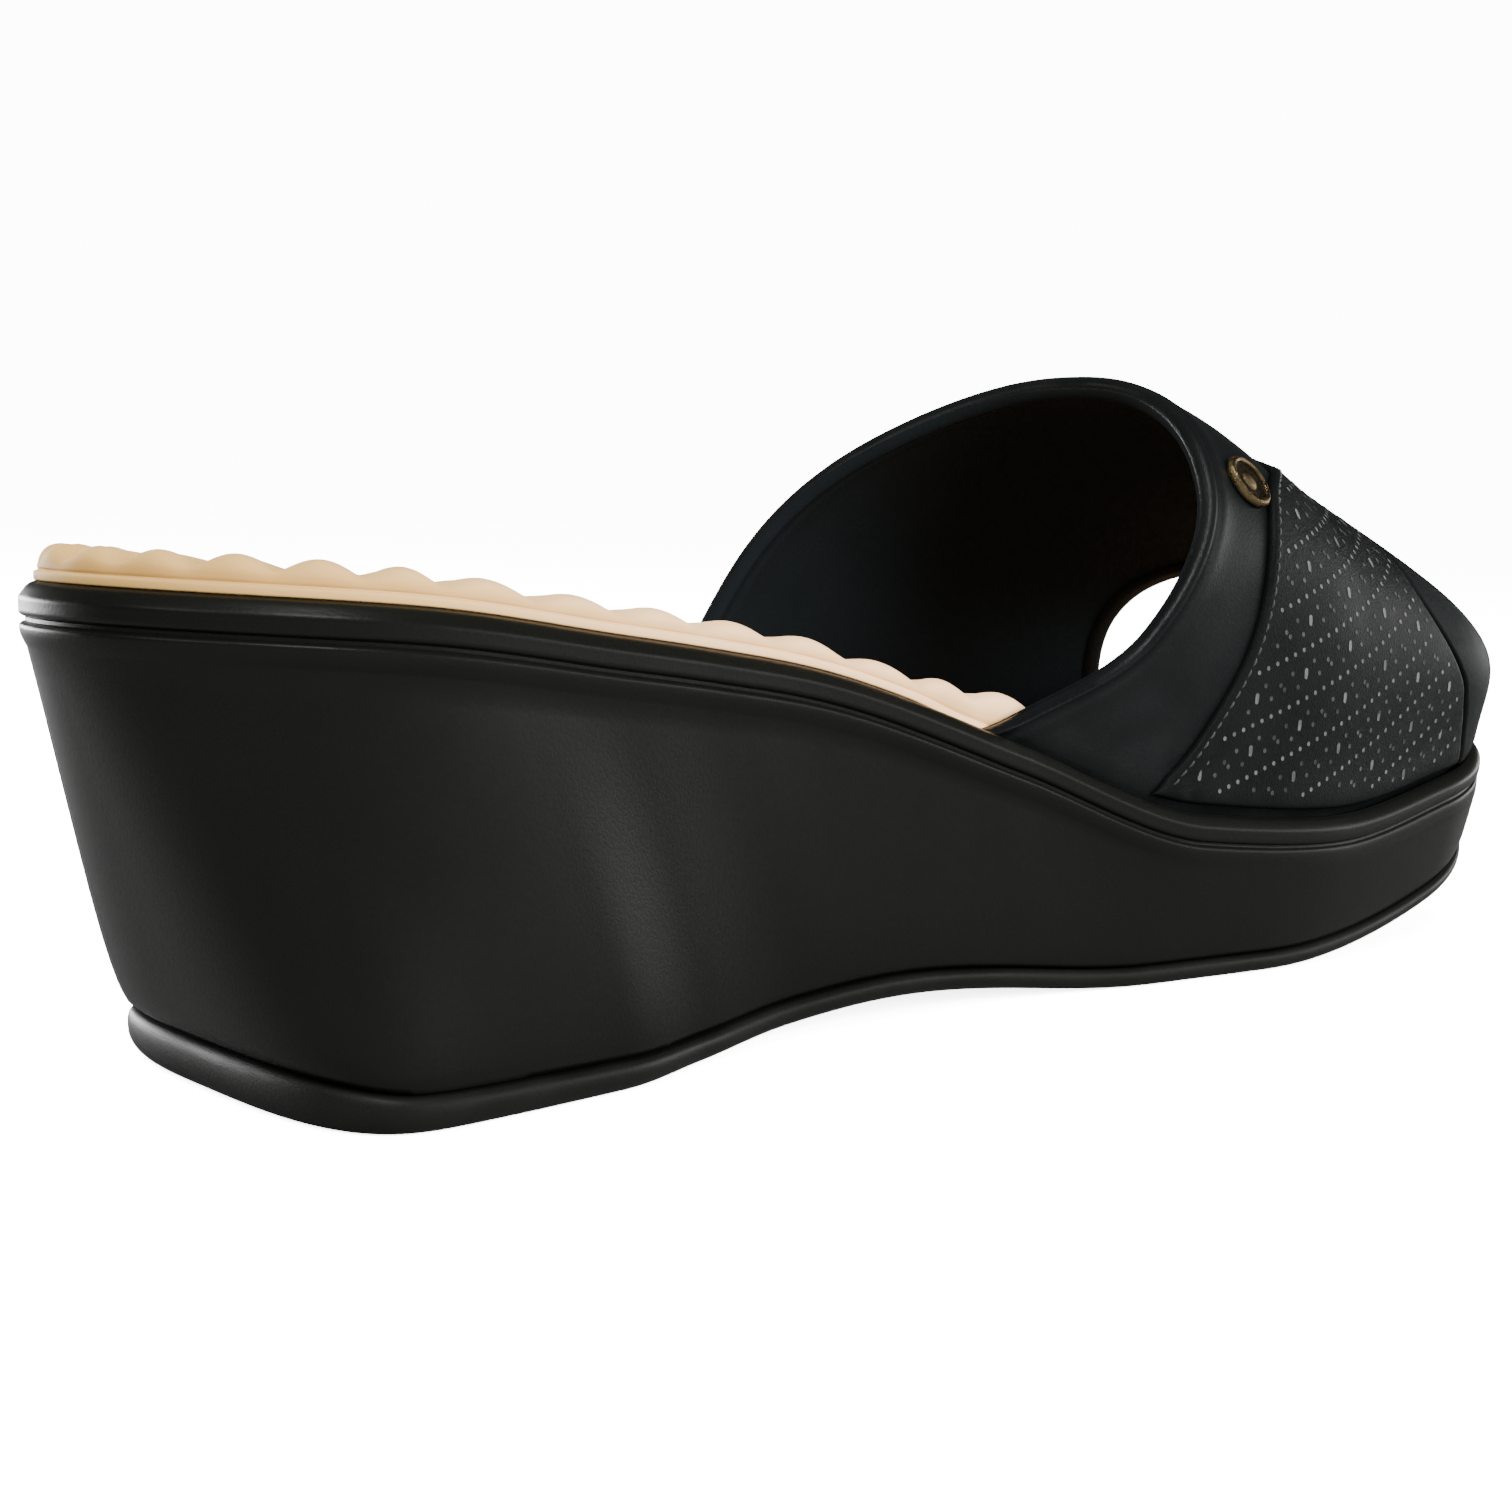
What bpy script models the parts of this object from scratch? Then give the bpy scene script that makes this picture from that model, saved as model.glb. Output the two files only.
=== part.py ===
"""A woman's open-toe, open-back wedge mule clog for the left foot.

The toe points along +X, the medial (inner) side is -Y and the floor is Z = 0. Sizes are in
millimetres and become metres where the meshes are made. The sole pieces are lofts through rings
that follow the sole's outline, and the upper is one curved shell bent over the last.
"""

import math

import bmesh
import bpy
import numpy as np
from mathutils import Vector

MM = 0.001  # metres in a millimetre

# Sole: driving sizes
SOLE_LENGTH = 262.0
BALL_WIDTH = 84.0
HEEL_HEIGHT = 59.0  # floor to the top rim at the back of the heel
PLATFORM_HEIGHT = 24.0  # floor to the top rim under the ball of the foot
TOE_LIFT = 12.0  # rise of the top rim from the ball to the tip
TOE_SPRING = 15.9  # rise of the tread from the ball to the tip
ARCH_RISE = 3.2  # height of the tread's hollow under the waist
HEEL_UNDERCUT = 18.0  # how far the heel's foot stands in from the rim behind
TOE_OVERHANG = 2.1  # how far the tread reaches past the rim at the tip
RIM_HEEL_ROUND = 38.7  # depth of the rounding, heel seen from above
TREAD_HEEL_ROUND = 18.0
TOE_ROUND_MEDIAL = 35.0
TOE_ROUND_LATERAL = 60.0
RIM_HEEL_SQUARENESS = 2.0  # exponent of a rounding, 2 is an ellipse
TREAD_HEEL_SQUARENESS_MEDIAL = 3.6
TREAD_HEEL_SQUARENESS_LATERAL = 2.5
TOE_SQUARENESS = 2.5

# Tread, as x places and depths
HEEL_FLAT_END = 66.0
HEEL_THICK_END = 28.0  # the heel's thick outsole has thinned to its named size here
FORE_FLAT_START = 159.0
FORE_FLAT_END = 185.0
SPRING_POWER = 1.8
OUTSOLE_AT_BACK = 5.7
OUTSOLE_AT_HEEL = 4.35
OUTSOLE_AT_WAIST = 3.0
OUTSOLE_AT_TOE = 3.0
OUTSOLE_PROUD = 1.0  # the tread's edge stands out past the wedge
CHANNEL_DEPTH = 1.2
CHANNEL_WIDTH = 3.0
CHANNEL_PITCH = 9.0
CHANNEL_MARGIN = 8.0  # uncut border at the tread's edge
HEEL_CHANNELS = 4
HEEL_CHANNEL_START = 35.5
FORE_CHANNELS = 7
FORE_CHANNEL_START = 153.0

# Rim, seat and footbed
RIM_WIDTH = 2.2
SEAT_DEPTH = 3.0  # the seat lies this far below the rim
WALL_BOW = 2.0  # how far the heel's wall swells out between rim and tread
WALL_BOW_POWER = 0.42  # under 1, the swell sits low on the wall
WALL_BOW_LEAST = 0.35  # share of the swell that is left on the low forefoot wall
WALL_SHARES = (0.0, 0.08, 0.28, 0.6)  # where the wall has its rings, from tread to rim
FLANGE_HEIGHT = 1.2  # footbed flange above the rim
FOOTBED_AT_BACK = 3.7  # footbed edge above the rim
FOOTBED_AT_HEEL = 3.2
FOOTBED_AT_COLLAR = 6.7  # where the upper starts
FOOTBED_AT_TOE = 11.0
CUP_AT_HEEL = 3.2
CUP_AT_COLLAR = 2.4
CUP_AT_TOE = 2.0
LOBE_PITCH = 13.2
HEEL_LOBE_PITCH = 10.1  # the lobes lie closer round the heel
HEEL_LOBES = 5  # close lobes on each side
LOBE_POINTS = 4  # steps of the edge for each lobe
LOBE_DEPTH = 1.5
HOLLOW_START = 0.14  # share of the length where the top's hollow begins
HOLLOW_END = 0.86
NOTCH_BEHIND = 16.0  # the footbed narrows over this length before the upper starts
NOTCH_LEAD = 1.0  # and is narrow this far ahead of the upper's rear edge
NOTCH_PAST = 2.0  # past the toe opening it stays narrow this far
NOTCH_AHEAD = 7.0  # and is wide again here

# Upper
INSTEP_HEIGHT = 65.0  # rim to the top of the collar
RIDGE_INBOARD = 6.0  # how far the instep's ridge lies to the medial side
BULGE_MEDIAL = 5.5
BULGE_LATERAL = 6.5
SECTION_WIDTH_POWER = 0.78
SECTION_HEIGHT_POWER = 1.08
UPPER_WALL = 2.0
PANEL_THICKNESS = 1.0
BAND_THICKNESS = 1.0
OVERLAY_START = 1.6  # degrees up from the rim, where the overlays begin
STUD_DIAMETER = 8.4
STUD_HEIGHT = 1.7
STUD_ANGLE = 53.5
STUD_FROM_SEAM = 5.2

CLEARANCE = 0.3  # between pieces that touch

# Mesh fineness
DENSE_STEPS = 600  # steps of the outline where it is only measured
NORMAL_STEP = 0.5  # small move along X, and in degrees, that finds the upper's normal
SHARP_ANGLE = 40.0
STUD_STEPS = 24
WELD_DISTANCE = 0.01
SOLE_STEPS = 45  # steps along each side of the wedge and outsole
UPPER_ROWS = 18
UPPER_COLUMNS = 30
PANEL_ROWS = 8
BAND_ROWS = 5

# Outline at stations along the sole. Station is a share of SOLE_LENGTH, half widths are shares
# of BALL_WIDTH at the rim and at the tread, heel_rise is a share of the heel's rise over the
# platform, and toe_rise is a share of TOE_LIFT.
OUTLINE_COLUMNS = (
    "station",
    "medial_rim",
    "lateral_rim",
    "medial_tread",
    "lateral_tread",
    "heel_rise",
    "toe_rise",
)
OUTLINE = (
    (0.00, 0.389, 0.387, 0.400, 0.330, 1.000, 0.00),
    (0.10, 0.409, 0.414, 0.412, 0.354, 0.968, 0.00),
    (0.22, 0.383, 0.417, 0.391, 0.350, 0.860, 0.00),
    (0.28, 0.363, 0.419, 0.334, 0.342, 0.802, 0.00),
    (0.35, 0.348, 0.423, 0.294, 0.335, 0.719, 0.00),
    (0.50, 0.358, 0.454, 0.310, 0.365, 0.387, 0.00),
    (0.63, 0.430, 0.500, 0.376, 0.432, 0.060, 0.00),
    (0.75, 0.467, 0.533, 0.416, 0.474, 0.000, 0.00),
    (0.87, 0.463, 0.499, 0.397, 0.440, 0.000, 0.37),
    (1.00, 0.401, 0.356, 0.344, 0.300, 0.000, 1.00),
)

# Rim seen in section, top to bottom: drop below the rim's top and outset from the outline.
RIM_COLUMNS = ("drop", "outset")
RIM_PROFILE = (
    (0.25, -1.30),
    (1.30, -0.30),
    (2.00, 0.00),
    (3.60, 0.00),
    (4.10, -0.70),
    (4.60, -0.70),
    (5.10, -0.10),
    (6.60, -0.35),
    (7.60, -0.95),
)

# Footbed by station along the sole: height of its edge over the rim, and depth of its cup.
FOOTBED_COLUMNS = ("station", "edge", "cup")
FOOTBED = (
    (0.04, FOOTBED_AT_BACK, CUP_AT_HEEL),
    (0.20, FOOTBED_AT_HEEL, CUP_AT_HEEL),
    (0.40, FOOTBED_AT_HEEL, CUP_AT_HEEL),
    (0.51, FOOTBED_AT_COLLAR, CUP_AT_COLLAR),
    (0.95, FOOTBED_AT_TOE, CUP_AT_TOE),
)

# Footbed's edge in section, bottom to top: inset in from the seat's line, share of the way up
# from the flange to the footbed's edge, and how far the lobes push out and up, as shares of
# LOBE_DEPTH.
PAD_COLUMNS = ("inset", "share", "lobe_out", "lobe_up")
PAD_PROFILE = (
    (0.0, 0.00, 0.00, 0.0),
    (0.9, 0.10, 0.00, 0.0),
    (0.5, 0.28, 0.33, 0.0),
    (0.4, 0.52, 0.47, 0.0),
    (1.3, 0.88, 0.33, 1.0),
    (3.4, 0.92, 0.00, 0.6),
)

# Footbed's hollow top: share of the way from the edge to the middle line, and share of the cup.
HOLLOW_COLUMNS = ("share", "fall")
HOLLOWS = ((0.30, 0.62), (0.72, 1.00))

# Stud in section, from its middle out and down: shares of its radius and of its height.
STUD_COLUMNS = ("radius", "height")
STUD_PROFILE = (
    (0.00, 0.62),
    (0.45, 0.62),
    (0.62, 0.72),
    (0.74, 1.00),
    (0.88, 1.00),
    (1.00, 0.62),
    (1.00, 0.00),
    (0.00, 0.00),
)

# Tread's edge in section: height as a share of the outsole and outset as a share of OUTSOLE_PROUD.
TREAD_EDGE_COLUMNS = ("height", "outset")
TREAD_EDGE = (
    (0.00, -1.20),
    (0.16, 0.20),
    (0.50, 1.00),
    (0.84, 0.80),
    (1.00, 0.10),
)

# Edges of the upper by angle round the foot, 0 at the medial rim and 180 at the lateral one.
# Collar, seam, band and toe are shares of SOLE_LENGTH.
EDGE_COLUMNS = ("angle", "collar", "seam", "band", "toe")
EDGES = (
    (0.0, 0.477, 0.592, 0.890, 0.970),
    (25.0, 0.583, 0.657, 0.876, 0.957),
    (50.0, 0.628, 0.681, 0.825, 0.936),
    (75.0, 0.639, 0.738, 0.815, 0.910),
    (100.0, 0.615, 0.742, 0.800, 0.882),
    (130.0, 0.553, 0.680, 0.790, 0.866),
    (155.0, 0.498, 0.622, 0.790, 0.865),
    (180.0, 0.447, 0.572, 0.797, 0.870),
)

# Height of the upper over the rim: station along the sole and share of INSTEP_HEIGHT.
RIDGE_COLUMNS = ("station", "height")
RIDGE = (
    (0.440, 0.690),
    (0.553, 0.898),
    (0.649, 1.000),
    (0.763, 0.827),
    (0.878, 0.556),
    (0.985, 0.215),
)


def column(table, names, name):
    """One named column of a table, as an array."""
    return np.array([row[names.index(name)] for row in table], float)


def smooth(at, knots, values):
    """A curve through the values without overshoot (monotone cubic)."""
    at = np.clip(np.asarray(at, float), knots[0], knots[-1])
    gaps = np.diff(knots)
    rises = np.diff(values) / gaps
    slopes = np.zeros(len(knots))
    slopes[0], slopes[-1] = rises[0], rises[-1]
    for i in range(1, len(knots) - 1):
        if rises[i - 1] * rises[i] > 0:
            slopes[i] = 2 * rises[i - 1] * rises[i] / (rises[i - 1] + rises[i])
    i = np.clip(np.searchsorted(knots, at, side="right") - 1, 0, len(gaps) - 1)
    t = (at - knots[i]) / gaps[i]
    start = values[i] + slopes[i] * gaps[i] * t * (1 - t) ** 2
    bend = (values[i + 1] - values[i]) * t * t * (3 - 2 * t)
    end = slopes[i + 1] * gaps[i] * t * t * (t - 1)
    return start + bend + end


def step_between(at, start, end):
    """0 before start, 1 after end, and a soft step between."""
    t = np.clip((np.asarray(at, float) - start) / (end - start), 0, 1)
    return t * t * (3 - 2 * t)


def outline_at(x, name):
    """A column of the outline table at the places x."""
    knots = column(OUTLINE, OUTLINE_COLUMNS, "station") * SOLE_LENGTH
    return smooth(x, knots, column(OUTLINE, OUTLINE_COLUMNS, name))


def edge_at(angle, name):
    """Where an edge of the upper lies along X, by angle in degrees."""
    knots = column(EDGES, EDGE_COLUMNS, "angle")
    return SOLE_LENGTH * smooth(angle, knots, column(EDGES, EDGE_COLUMNS, name))


def rim_z(x):
    """Height of the rim's top."""
    heel = (HEEL_HEIGHT - PLATFORM_HEIGHT) * outline_at(x, "heel_rise")
    return PLATFORM_HEIGHT + heel + TOE_LIFT * outline_at(x, "toe_rise")


def tread_z(x):
    """Height of the tread's underside: flat at heel and ball, hollow waist, sprung toe."""
    across = np.clip((x - HEEL_FLAT_END) / (FORE_FLAT_START - HEEL_FLAT_END), 0, 1)
    arch = ARCH_RISE * (1 - np.cos(2 * math.pi * across)) / 2
    ahead = np.clip((x - FORE_FLAT_END) / (SOLE_LENGTH - FORE_FLAT_END), 0, None)
    return arch + TOE_SPRING * ahead**SPRING_POWER


def outsole_thickness(x):
    """Thickness of the outsole along the shoe."""
    knots = np.array([HEEL_UNDERCUT, HEEL_THICK_END, FORE_FLAT_START, SOLE_LENGTH])
    values = np.array([OUTSOLE_AT_BACK, OUTSOLE_AT_HEEL, OUTSOLE_AT_WAIST, OUTSOLE_AT_TOE])
    return smooth(x, knots, values)


def half_width(x, side, level):
    """Half width of the rim or tread at x. Side is medial or lateral."""
    back, front, heel_round, square = 0.0, SOLE_LENGTH, RIM_HEEL_ROUND, RIM_HEEL_SQUARENESS
    if level == "tread":
        back, front = HEEL_UNDERCUT, SOLE_LENGTH + TOE_OVERHANG
        heel_round = TREAD_HEEL_ROUND
        square = TREAD_HEEL_SQUARENESS_MEDIAL if side == "medial" else TREAD_HEEL_SQUARENESS_LATERAL
    toe_round = TOE_ROUND_MEDIAL if side == "medial" else TOE_ROUND_LATERAL
    behind = np.clip((back + heel_round - x) / heel_round, 0, 1)
    ahead = np.clip((x - front + toe_round) / toe_round, 0, 1)
    rounding = (1 - behind**square) ** (1 / square) * (1 - ahead**TOE_SQUARENESS) ** (1 / TOE_SQUARENESS)
    return BALL_WIDTH * outline_at(x, f"{side}_{level}") * rounding


def outline_sides(level, steps):
    """The outline's medial side and its lateral side, each a line of points from heel to toe."""
    back, front = (0.0, SOLE_LENGTH) if level == "rim" else (HEEL_UNDERCUT, SOLE_LENGTH + TOE_OVERHANG)
    x = back + (front - back) * (1 - np.cos(np.linspace(0, math.pi, steps + 1))) / 2
    medial = np.stack([x, -half_width(x, "medial", level)], 1)
    return medial, np.stack([x, half_width(x, "lateral", level)], 1)


def ring(level, steps):
    """The outline as a ring of points: heel to toe on the medial side, then back."""
    medial, lateral = outline_sides(level, steps)
    return np.concatenate([medial, lateral[-2:0:-1]])


def lobed_ring():
    """The rim's ring with LOBE_POINTS steps to each lobe of the footbed, and the lobes' wave
    from 0 in a valley to 1. The lobes are counted from the heel's middle, alike on both sides,
    and a whole number of them fits between heel and toe."""
    sides = outline_sides("rim", DENSE_STEPS)
    runs = [np.concatenate([[0], np.cumsum(np.hypot(*np.diff(side, axis=0).T))]) for side in sides]
    close = HEEL_LOBES * HEEL_LOBE_PITCH
    lobes = HEEL_LOBES + round((np.mean([run[-1] for run in runs]) - close) / LOBE_PITCH)
    count = np.linspace(0, lobes, lobes * LOBE_POINTS + 1)
    edge = []
    for side, run in zip(sides, runs):
        at = np.interp(count, (0, HEEL_LOBES, lobes), (0, close, run[-1]))
        edge.append(np.stack([np.interp(at, run, side[:, 0]), np.interp(at, run, side[:, 1])], 1))
    wave = np.abs(np.sin(math.pi * count))
    return np.concatenate([edge[0], edge[1][-2:0:-1]]), np.concatenate([wave, wave[-2:0:-1]])


def outset(points, amount):
    """The ring moved out along its own normals. Amount is one number or one for each point."""
    along = np.roll(points, -1, 0) - np.roll(points, 1, 0)
    along /= np.hypot(*along.T)[:, None]
    return points + np.stack([along[:, 1], -along[:, 0]], 1) * np.reshape(amount, (-1, 1))


def with_z(points, z):
    """A flat ring lifted to the heights z."""
    return np.column_stack([points, z])


def add_object(name, mesh, material):
    """Puts the mesh in the scene as a smooth-shaded object of the shoe."""
    obj = bpy.data.objects.new(name, mesh)
    mesh.materials.append(material)
    mesh.shade_smooth()
    mesh.set_sharp_from_angle(angle=math.radians(SHARP_ANGLE))
    parts.objects.link(obj)
    obj.parent = origin
    return obj


def inset_width(x, side, inset):
    """Half width at x of the rim's outline moved in by inset along its normals."""
    points = outset(ring("rim", DENSE_STEPS), -inset)
    if side == "medial":
        return np.interp(x, points[: DENSE_STEPS + 1, 0], -points[: DENSE_STEPS + 1, 1])
    back = np.roll(points, -1, 0)[: DENSE_STEPS - 2 : -1]
    return np.interp(x, back[:, 0], back[:, 1])


def ring_solid(name, rings, material):
    """A closed solid through rings, from the underside up and over, with a ladder of faces
    from side to side as its floor and its top."""
    count = len(rings[0])
    half = count // 2
    faces = []
    for k in range(len(rings) - 1):
        for i in range(count):
            j = (i + 1) % count
            faces.append((k * count + i, k * count + j, (k + 1) * count + j, (k + 1) * count + i))
    for i in range(half):
        rung = [i, i + 1, count - i - 1, (count - i) % count]
        if i == 0:
            rung.pop()
        elif i == half - 1:
            rung.pop(2)
        faces.append(tuple(reversed(rung)))
        faces.append(tuple((len(rings) - 1) * count + v for v in rung))
    mesh = bpy.data.meshes.new(name)
    mesh.from_pydata(np.concatenate(rings) * MM, [], faces)
    return add_object(name, mesh, material)


def finish(name, colour, roughness, metallic=0.0):
    """A material with the piece's colour, roughness and metallic value."""
    material = bpy.data.materials.new(name)
    material.use_nodes = True
    shader = material.node_tree.nodes["Principled BSDF"]
    shader.inputs["Base Color"].default_value = (*colour, 1)
    shader.inputs["Roughness"].default_value = roughness
    shader.inputs["Metallic"].default_value = metallic
    return material


def cut_channels(outsole):
    """Cuts the tread's crosswise channels into the heel and the forefoot."""
    mesh = bpy.data.meshes.new("tread_channels")
    box = bmesh.new()
    starts = [(HEEL_CHANNEL_START, i) for i in range(HEEL_CHANNELS)]
    starts += [(FORE_CHANNEL_START, i) for i in range(FORE_CHANNELS)]
    for start, i in starts:
        x = start + i * CHANNEL_PITCH
        medial = -(half_width(x, "medial", "tread") - CHANNEL_MARGIN)
        lateral = half_width(x, "lateral", "tread") - CHANNEL_MARGIN
        top = float(tread_z(x)) + CHANNEL_DEPTH
        reach = top + 2 * CHANNEL_DEPTH
        cube = bmesh.ops.create_cube(box, size=1.0)["verts"]
        bmesh.ops.scale(box, vec=(CHANNEL_WIDTH * MM, (lateral - medial) * MM, reach * MM), verts=cube)
        middle = Vector((x, (medial + lateral) / 2, top - reach / 2)) * MM
        bmesh.ops.translate(box, vec=middle, verts=cube)
    box.to_mesh(mesh)
    box.free()
    cutter = bpy.data.objects.new("tread_channels", mesh)
    cutters.objects.link(cutter)
    cutter.parent = origin
    cutter.hide_render = True
    cutter.display_type = "WIRE"
    cut = outsole.modifiers.new("channels", "BOOLEAN")
    cut.operation = "DIFFERENCE"
    cut.object = cutter


def make_outsole(material):
    """The thin rubber tread, with a rounded edge and crosswise channels."""
    base = ring("tread", SOLE_STEPS)
    heights = column(TREAD_EDGE, TREAD_EDGE_COLUMNS, "height")
    outsets = column(TREAD_EDGE, TREAD_EDGE_COLUMNS, "outset") * OUTSOLE_PROUD
    rings = []
    for height, out in zip(heights, outsets):
        points = outset(base, out)
        x = points[:, 0]
        rings.append(with_z(points, tread_z(x) + height * outsole_thickness(x)))
    cut_channels(ring_solid("outsole", rings, material))


def make_wedge(material):
    """The moulded heel, waist and platform in one, with its rim, groove and lip."""
    rim = ring("rim", SOLE_STEPS)
    foot = ring("tread", SOLE_STEPS)
    foot = with_z(foot, tread_z(foot[:, 0]) + outsole_thickness(foot[:, 0]) + CLEARANCE)
    drops = column(RIM_PROFILE, RIM_COLUMNS, "drop")
    outsets = column(RIM_PROFILE, RIM_COLUMNS, "outset")

    def rim_ring(drop, out):
        points = outset(rim, out)
        return with_z(points, rim_z(points[:, 0]) - drop)

    wall_top = rim_ring(drops[-1], outsets[-1])
    height = (wall_top - foot)[:, 2] / HEEL_HEIGHT
    swell = (outset(rim, WALL_BOW) - rim) * np.clip(height, WALL_BOW_LEAST, 1)[:, None]
    wall = []
    for share in WALL_SHARES:
        points = foot + (wall_top - foot) * share
        points[:, :2] += swell * math.sin(math.pi * share**WALL_BOW_POWER)
        wall.append(points)
    edge = [rim_ring(drop, out) for drop, out in zip(drops[::-1], outsets[::-1])]
    inner = [rim_ring(0.0, -RIM_WIDTH), rim_ring(SEAT_DEPTH, -RIM_WIDTH)]
    ring_solid("wedge", wall + edge + inner, material)


def footbed_inset(points):
    """How far the footbed's edge stands in from the outline: past the rim, and past the upper
    where that comes down between the two."""
    x, y = points.T
    bare = RIM_WIDTH + CLEARANCE
    room = UPPER_WALL + 2 * CLEARANCE
    covered = np.zeros(len(x))
    for sign, angle in ((-1, 0.0), (1, 180.0)):
        here = np.sign(y) == sign
        rear = edge_at(angle, "collar")
        front = edge_at(angle, "toe")
        inside = step_between(x, rear - NOTCH_BEHIND, rear - NOTCH_LEAD)
        inside *= 1 - step_between(x, front + NOTCH_PAST, front + NOTCH_AHEAD)
        covered = np.where(here, inside, covered)
    return bare + room * covered


def make_footbed(material):
    """The padded footbed: a thin flange, a groove, a lobed body and a cupped top."""
    rim, wave = lobed_ring()
    wave = LOBE_DEPTH * (wave - 0.5)
    knots = column(FOOTBED, FOOTBED_COLUMNS, "station") * SOLE_LENGTH
    rise = smooth(rim[:, 0], knots, column(FOOTBED, FOOTBED_COLUMNS, "edge"))
    cup = smooth(rim[:, 0], knots, column(FOOTBED, FOOTBED_COLUMNS, "cup"))
    seat = footbed_inset(rim)
    bottom = outset(rim, -seat)
    rings = [with_z(bottom, rim_z(bottom[:, 0]) + CLEARANCE - SEAT_DEPTH)]
    for inset, share, lobe_out, lobe_up in PAD_PROFILE:
        points = outset(rim, -(seat + inset) + lobe_out * wave)
        above = FLANGE_HEIGHT + (rise - FLANGE_HEIGHT) * share + lobe_up * wave
        rings.append(with_z(points, rim_z(points[:, 0]) + above))
    crest = rings[-1][:, :2]
    middle = np.clip(crest[:, 0], HOLLOW_START * SOLE_LENGTH, HOLLOW_END * SOLE_LENGTH)
    inward = np.column_stack([middle, 0 * middle]) - crest
    for share, fall in HOLLOWS:
        points = crest + inward * share
        rings.append(with_z(points, rim_z(points[:, 0]) + rise - cup * fall))
    ring_solid("footbed", rings, material)


def upper_surface(x, angle, lift=0.0):
    """Points of the upper's outer face at places x and angles in degrees, moved out by lift."""

    def face(x, angle):
        turn = np.radians(angle)
        across, up = np.cos(turn), np.sin(turn)
        medial = across > 0
        bare = RIM_WIDTH + CLEARANCE
        width = np.where(medial, inset_width(x, "medial", bare), inset_width(x, "lateral", bare))
        bulge = np.where(medial, BULGE_MEDIAL, BULGE_LATERAL) * np.sin(2 * turn) ** 2
        reach = width * np.abs(across) ** SECTION_WIDTH_POWER + bulge
        y = np.where(medial, -reach, reach) - RIDGE_INBOARD * up**2
        knots = column(RIDGE, RIDGE_COLUMNS, "station") * SOLE_LENGTH
        height = INSTEP_HEIGHT * smooth(x, knots, column(RIDGE, RIDGE_COLUMNS, "height"))
        return np.stack([x, y, rim_z(x) + height * up**SECTION_HEIGHT_POWER], -1)

    points = face(x, angle)
    if np.any(lift):
        along = face(x + NORMAL_STEP, angle) - face(x - NORMAL_STEP, angle)
        lower = np.clip(angle - NORMAL_STEP, 0, 180)
        higher = np.clip(angle + NORMAL_STEP, 0, 180)
        normal = np.cross(along, face(x, higher) - face(x, lower))
        points = points + lift * normal / np.linalg.norm(normal, axis=-1, keepdims=True)
    return points


def upper_grid(rear, front, rows, columns, start=0.0, lift=0.0, trim=(0.0, 0.0)):
    """A net of points between two edges of the upper. Trim shortens it at rear and front."""
    angles = np.linspace(start, 180 - start, columns + 1)
    back = edge_at(angles, rear) + trim[0]
    ahead = edge_at(angles, front) - trim[1]
    share = np.sin(np.linspace(0, math.pi / 2, rows + 1))[:, None]
    x = back + (ahead - back) * share
    return upper_surface(x, np.broadcast_to(angles, x.shape), lift)


def shell(name, net, thickness, material):
    """A net of points as a wall of one thickness, which grows inward from the net."""
    rows, columns = net.shape[:2]
    faces = []
    for r in range(rows - 1):
        for c in range(columns - 1):
            corner = r * columns + c
            faces.append((corner, corner + columns, corner + columns + 1, corner + 1))
    mesh = bpy.data.meshes.new(name)
    mesh.from_pydata(net.reshape(-1, 3) * MM, [], faces)
    obj = add_object(name, mesh, material)
    wall = obj.modifiers.new("wall", "SOLIDIFY")
    wall.thickness = thickness * MM
    wall.offset = -1
    return obj


def make_upper(material):
    """The upper: one hollow shell from collar to toe opening, its foot in the rim."""
    net = upper_grid("collar", "toe", UPPER_ROWS, UPPER_COLUMNS)
    feet = []
    for row in (net[:, :1], net[:, -1:]):
        foot = row.copy()
        foot[..., 2] -= SEAT_DEPTH - CLEARANCE
        feet.append(foot)
    shell("upper", np.concatenate([feet[0], net, feet[1]], 1), UPPER_WALL, material)


def make_panel(material):
    """The perforated vamp panel, laid over the upper between collar band and toe band."""
    lift = CLEARANCE + PANEL_THICKNESS
    net = upper_grid("seam", "band", PANEL_ROWS, UPPER_COLUMNS, OVERLAY_START, lift)
    shell("vamp_panel", net, PANEL_THICKNESS, material)


def make_toe_band(material):
    """The smooth binding round the toe opening, butted to the vamp panel."""
    lift = CLEARANCE + BAND_THICKNESS
    net = upper_grid("band", "toe", BAND_ROWS, UPPER_COLUMNS, OVERLAY_START, lift, (CLEARANCE, 0.0))
    shell("toe_band", net, BAND_THICKNESS, material)


def make_stud(material):
    """The round metal ornament on the collar band, a turned disc with a dished face."""
    shares = column(STUD_PROFILE, STUD_COLUMNS, "radius") * STUD_DIAMETER / 2
    heights = column(STUD_PROFILE, STUD_COLUMNS, "height") * STUD_HEIGHT
    points = np.column_stack([shares, 0 * shares, heights]) * MM
    mesh = bpy.data.meshes.new("stud")
    mesh.from_pydata(points, [(i, i + 1) for i in range(len(points) - 1)], [])
    obj = add_object("stud", mesh, material)
    turned = obj.modifiers.new("turned", "SCREW")
    turned.steps = turned.render_steps = STUD_STEPS
    turned.use_merge_vertices = True
    turned.merge_threshold = WELD_DISTANCE * MM
    x = edge_at(STUD_ANGLE, "seam") - STUD_FROM_SEAM
    seat, above = (upper_surface(x, np.float64(STUD_ANGLE), lift) for lift in (CLEARANCE, CLEARANCE + 1))
    obj.location = Vector(seat * MM)
    obj.rotation_euler = Vector(above - seat).to_track_quat("Z", "Y").to_euler()


for old in list(bpy.data.objects):
    bpy.data.objects.remove(old, do_unlink=True)
parts = bpy.data.collections.new("wedge_clog")
cutters = bpy.data.collections.new("cutters")
for group in (parts, cutters):
    bpy.context.scene.collection.children.link(group)

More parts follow.
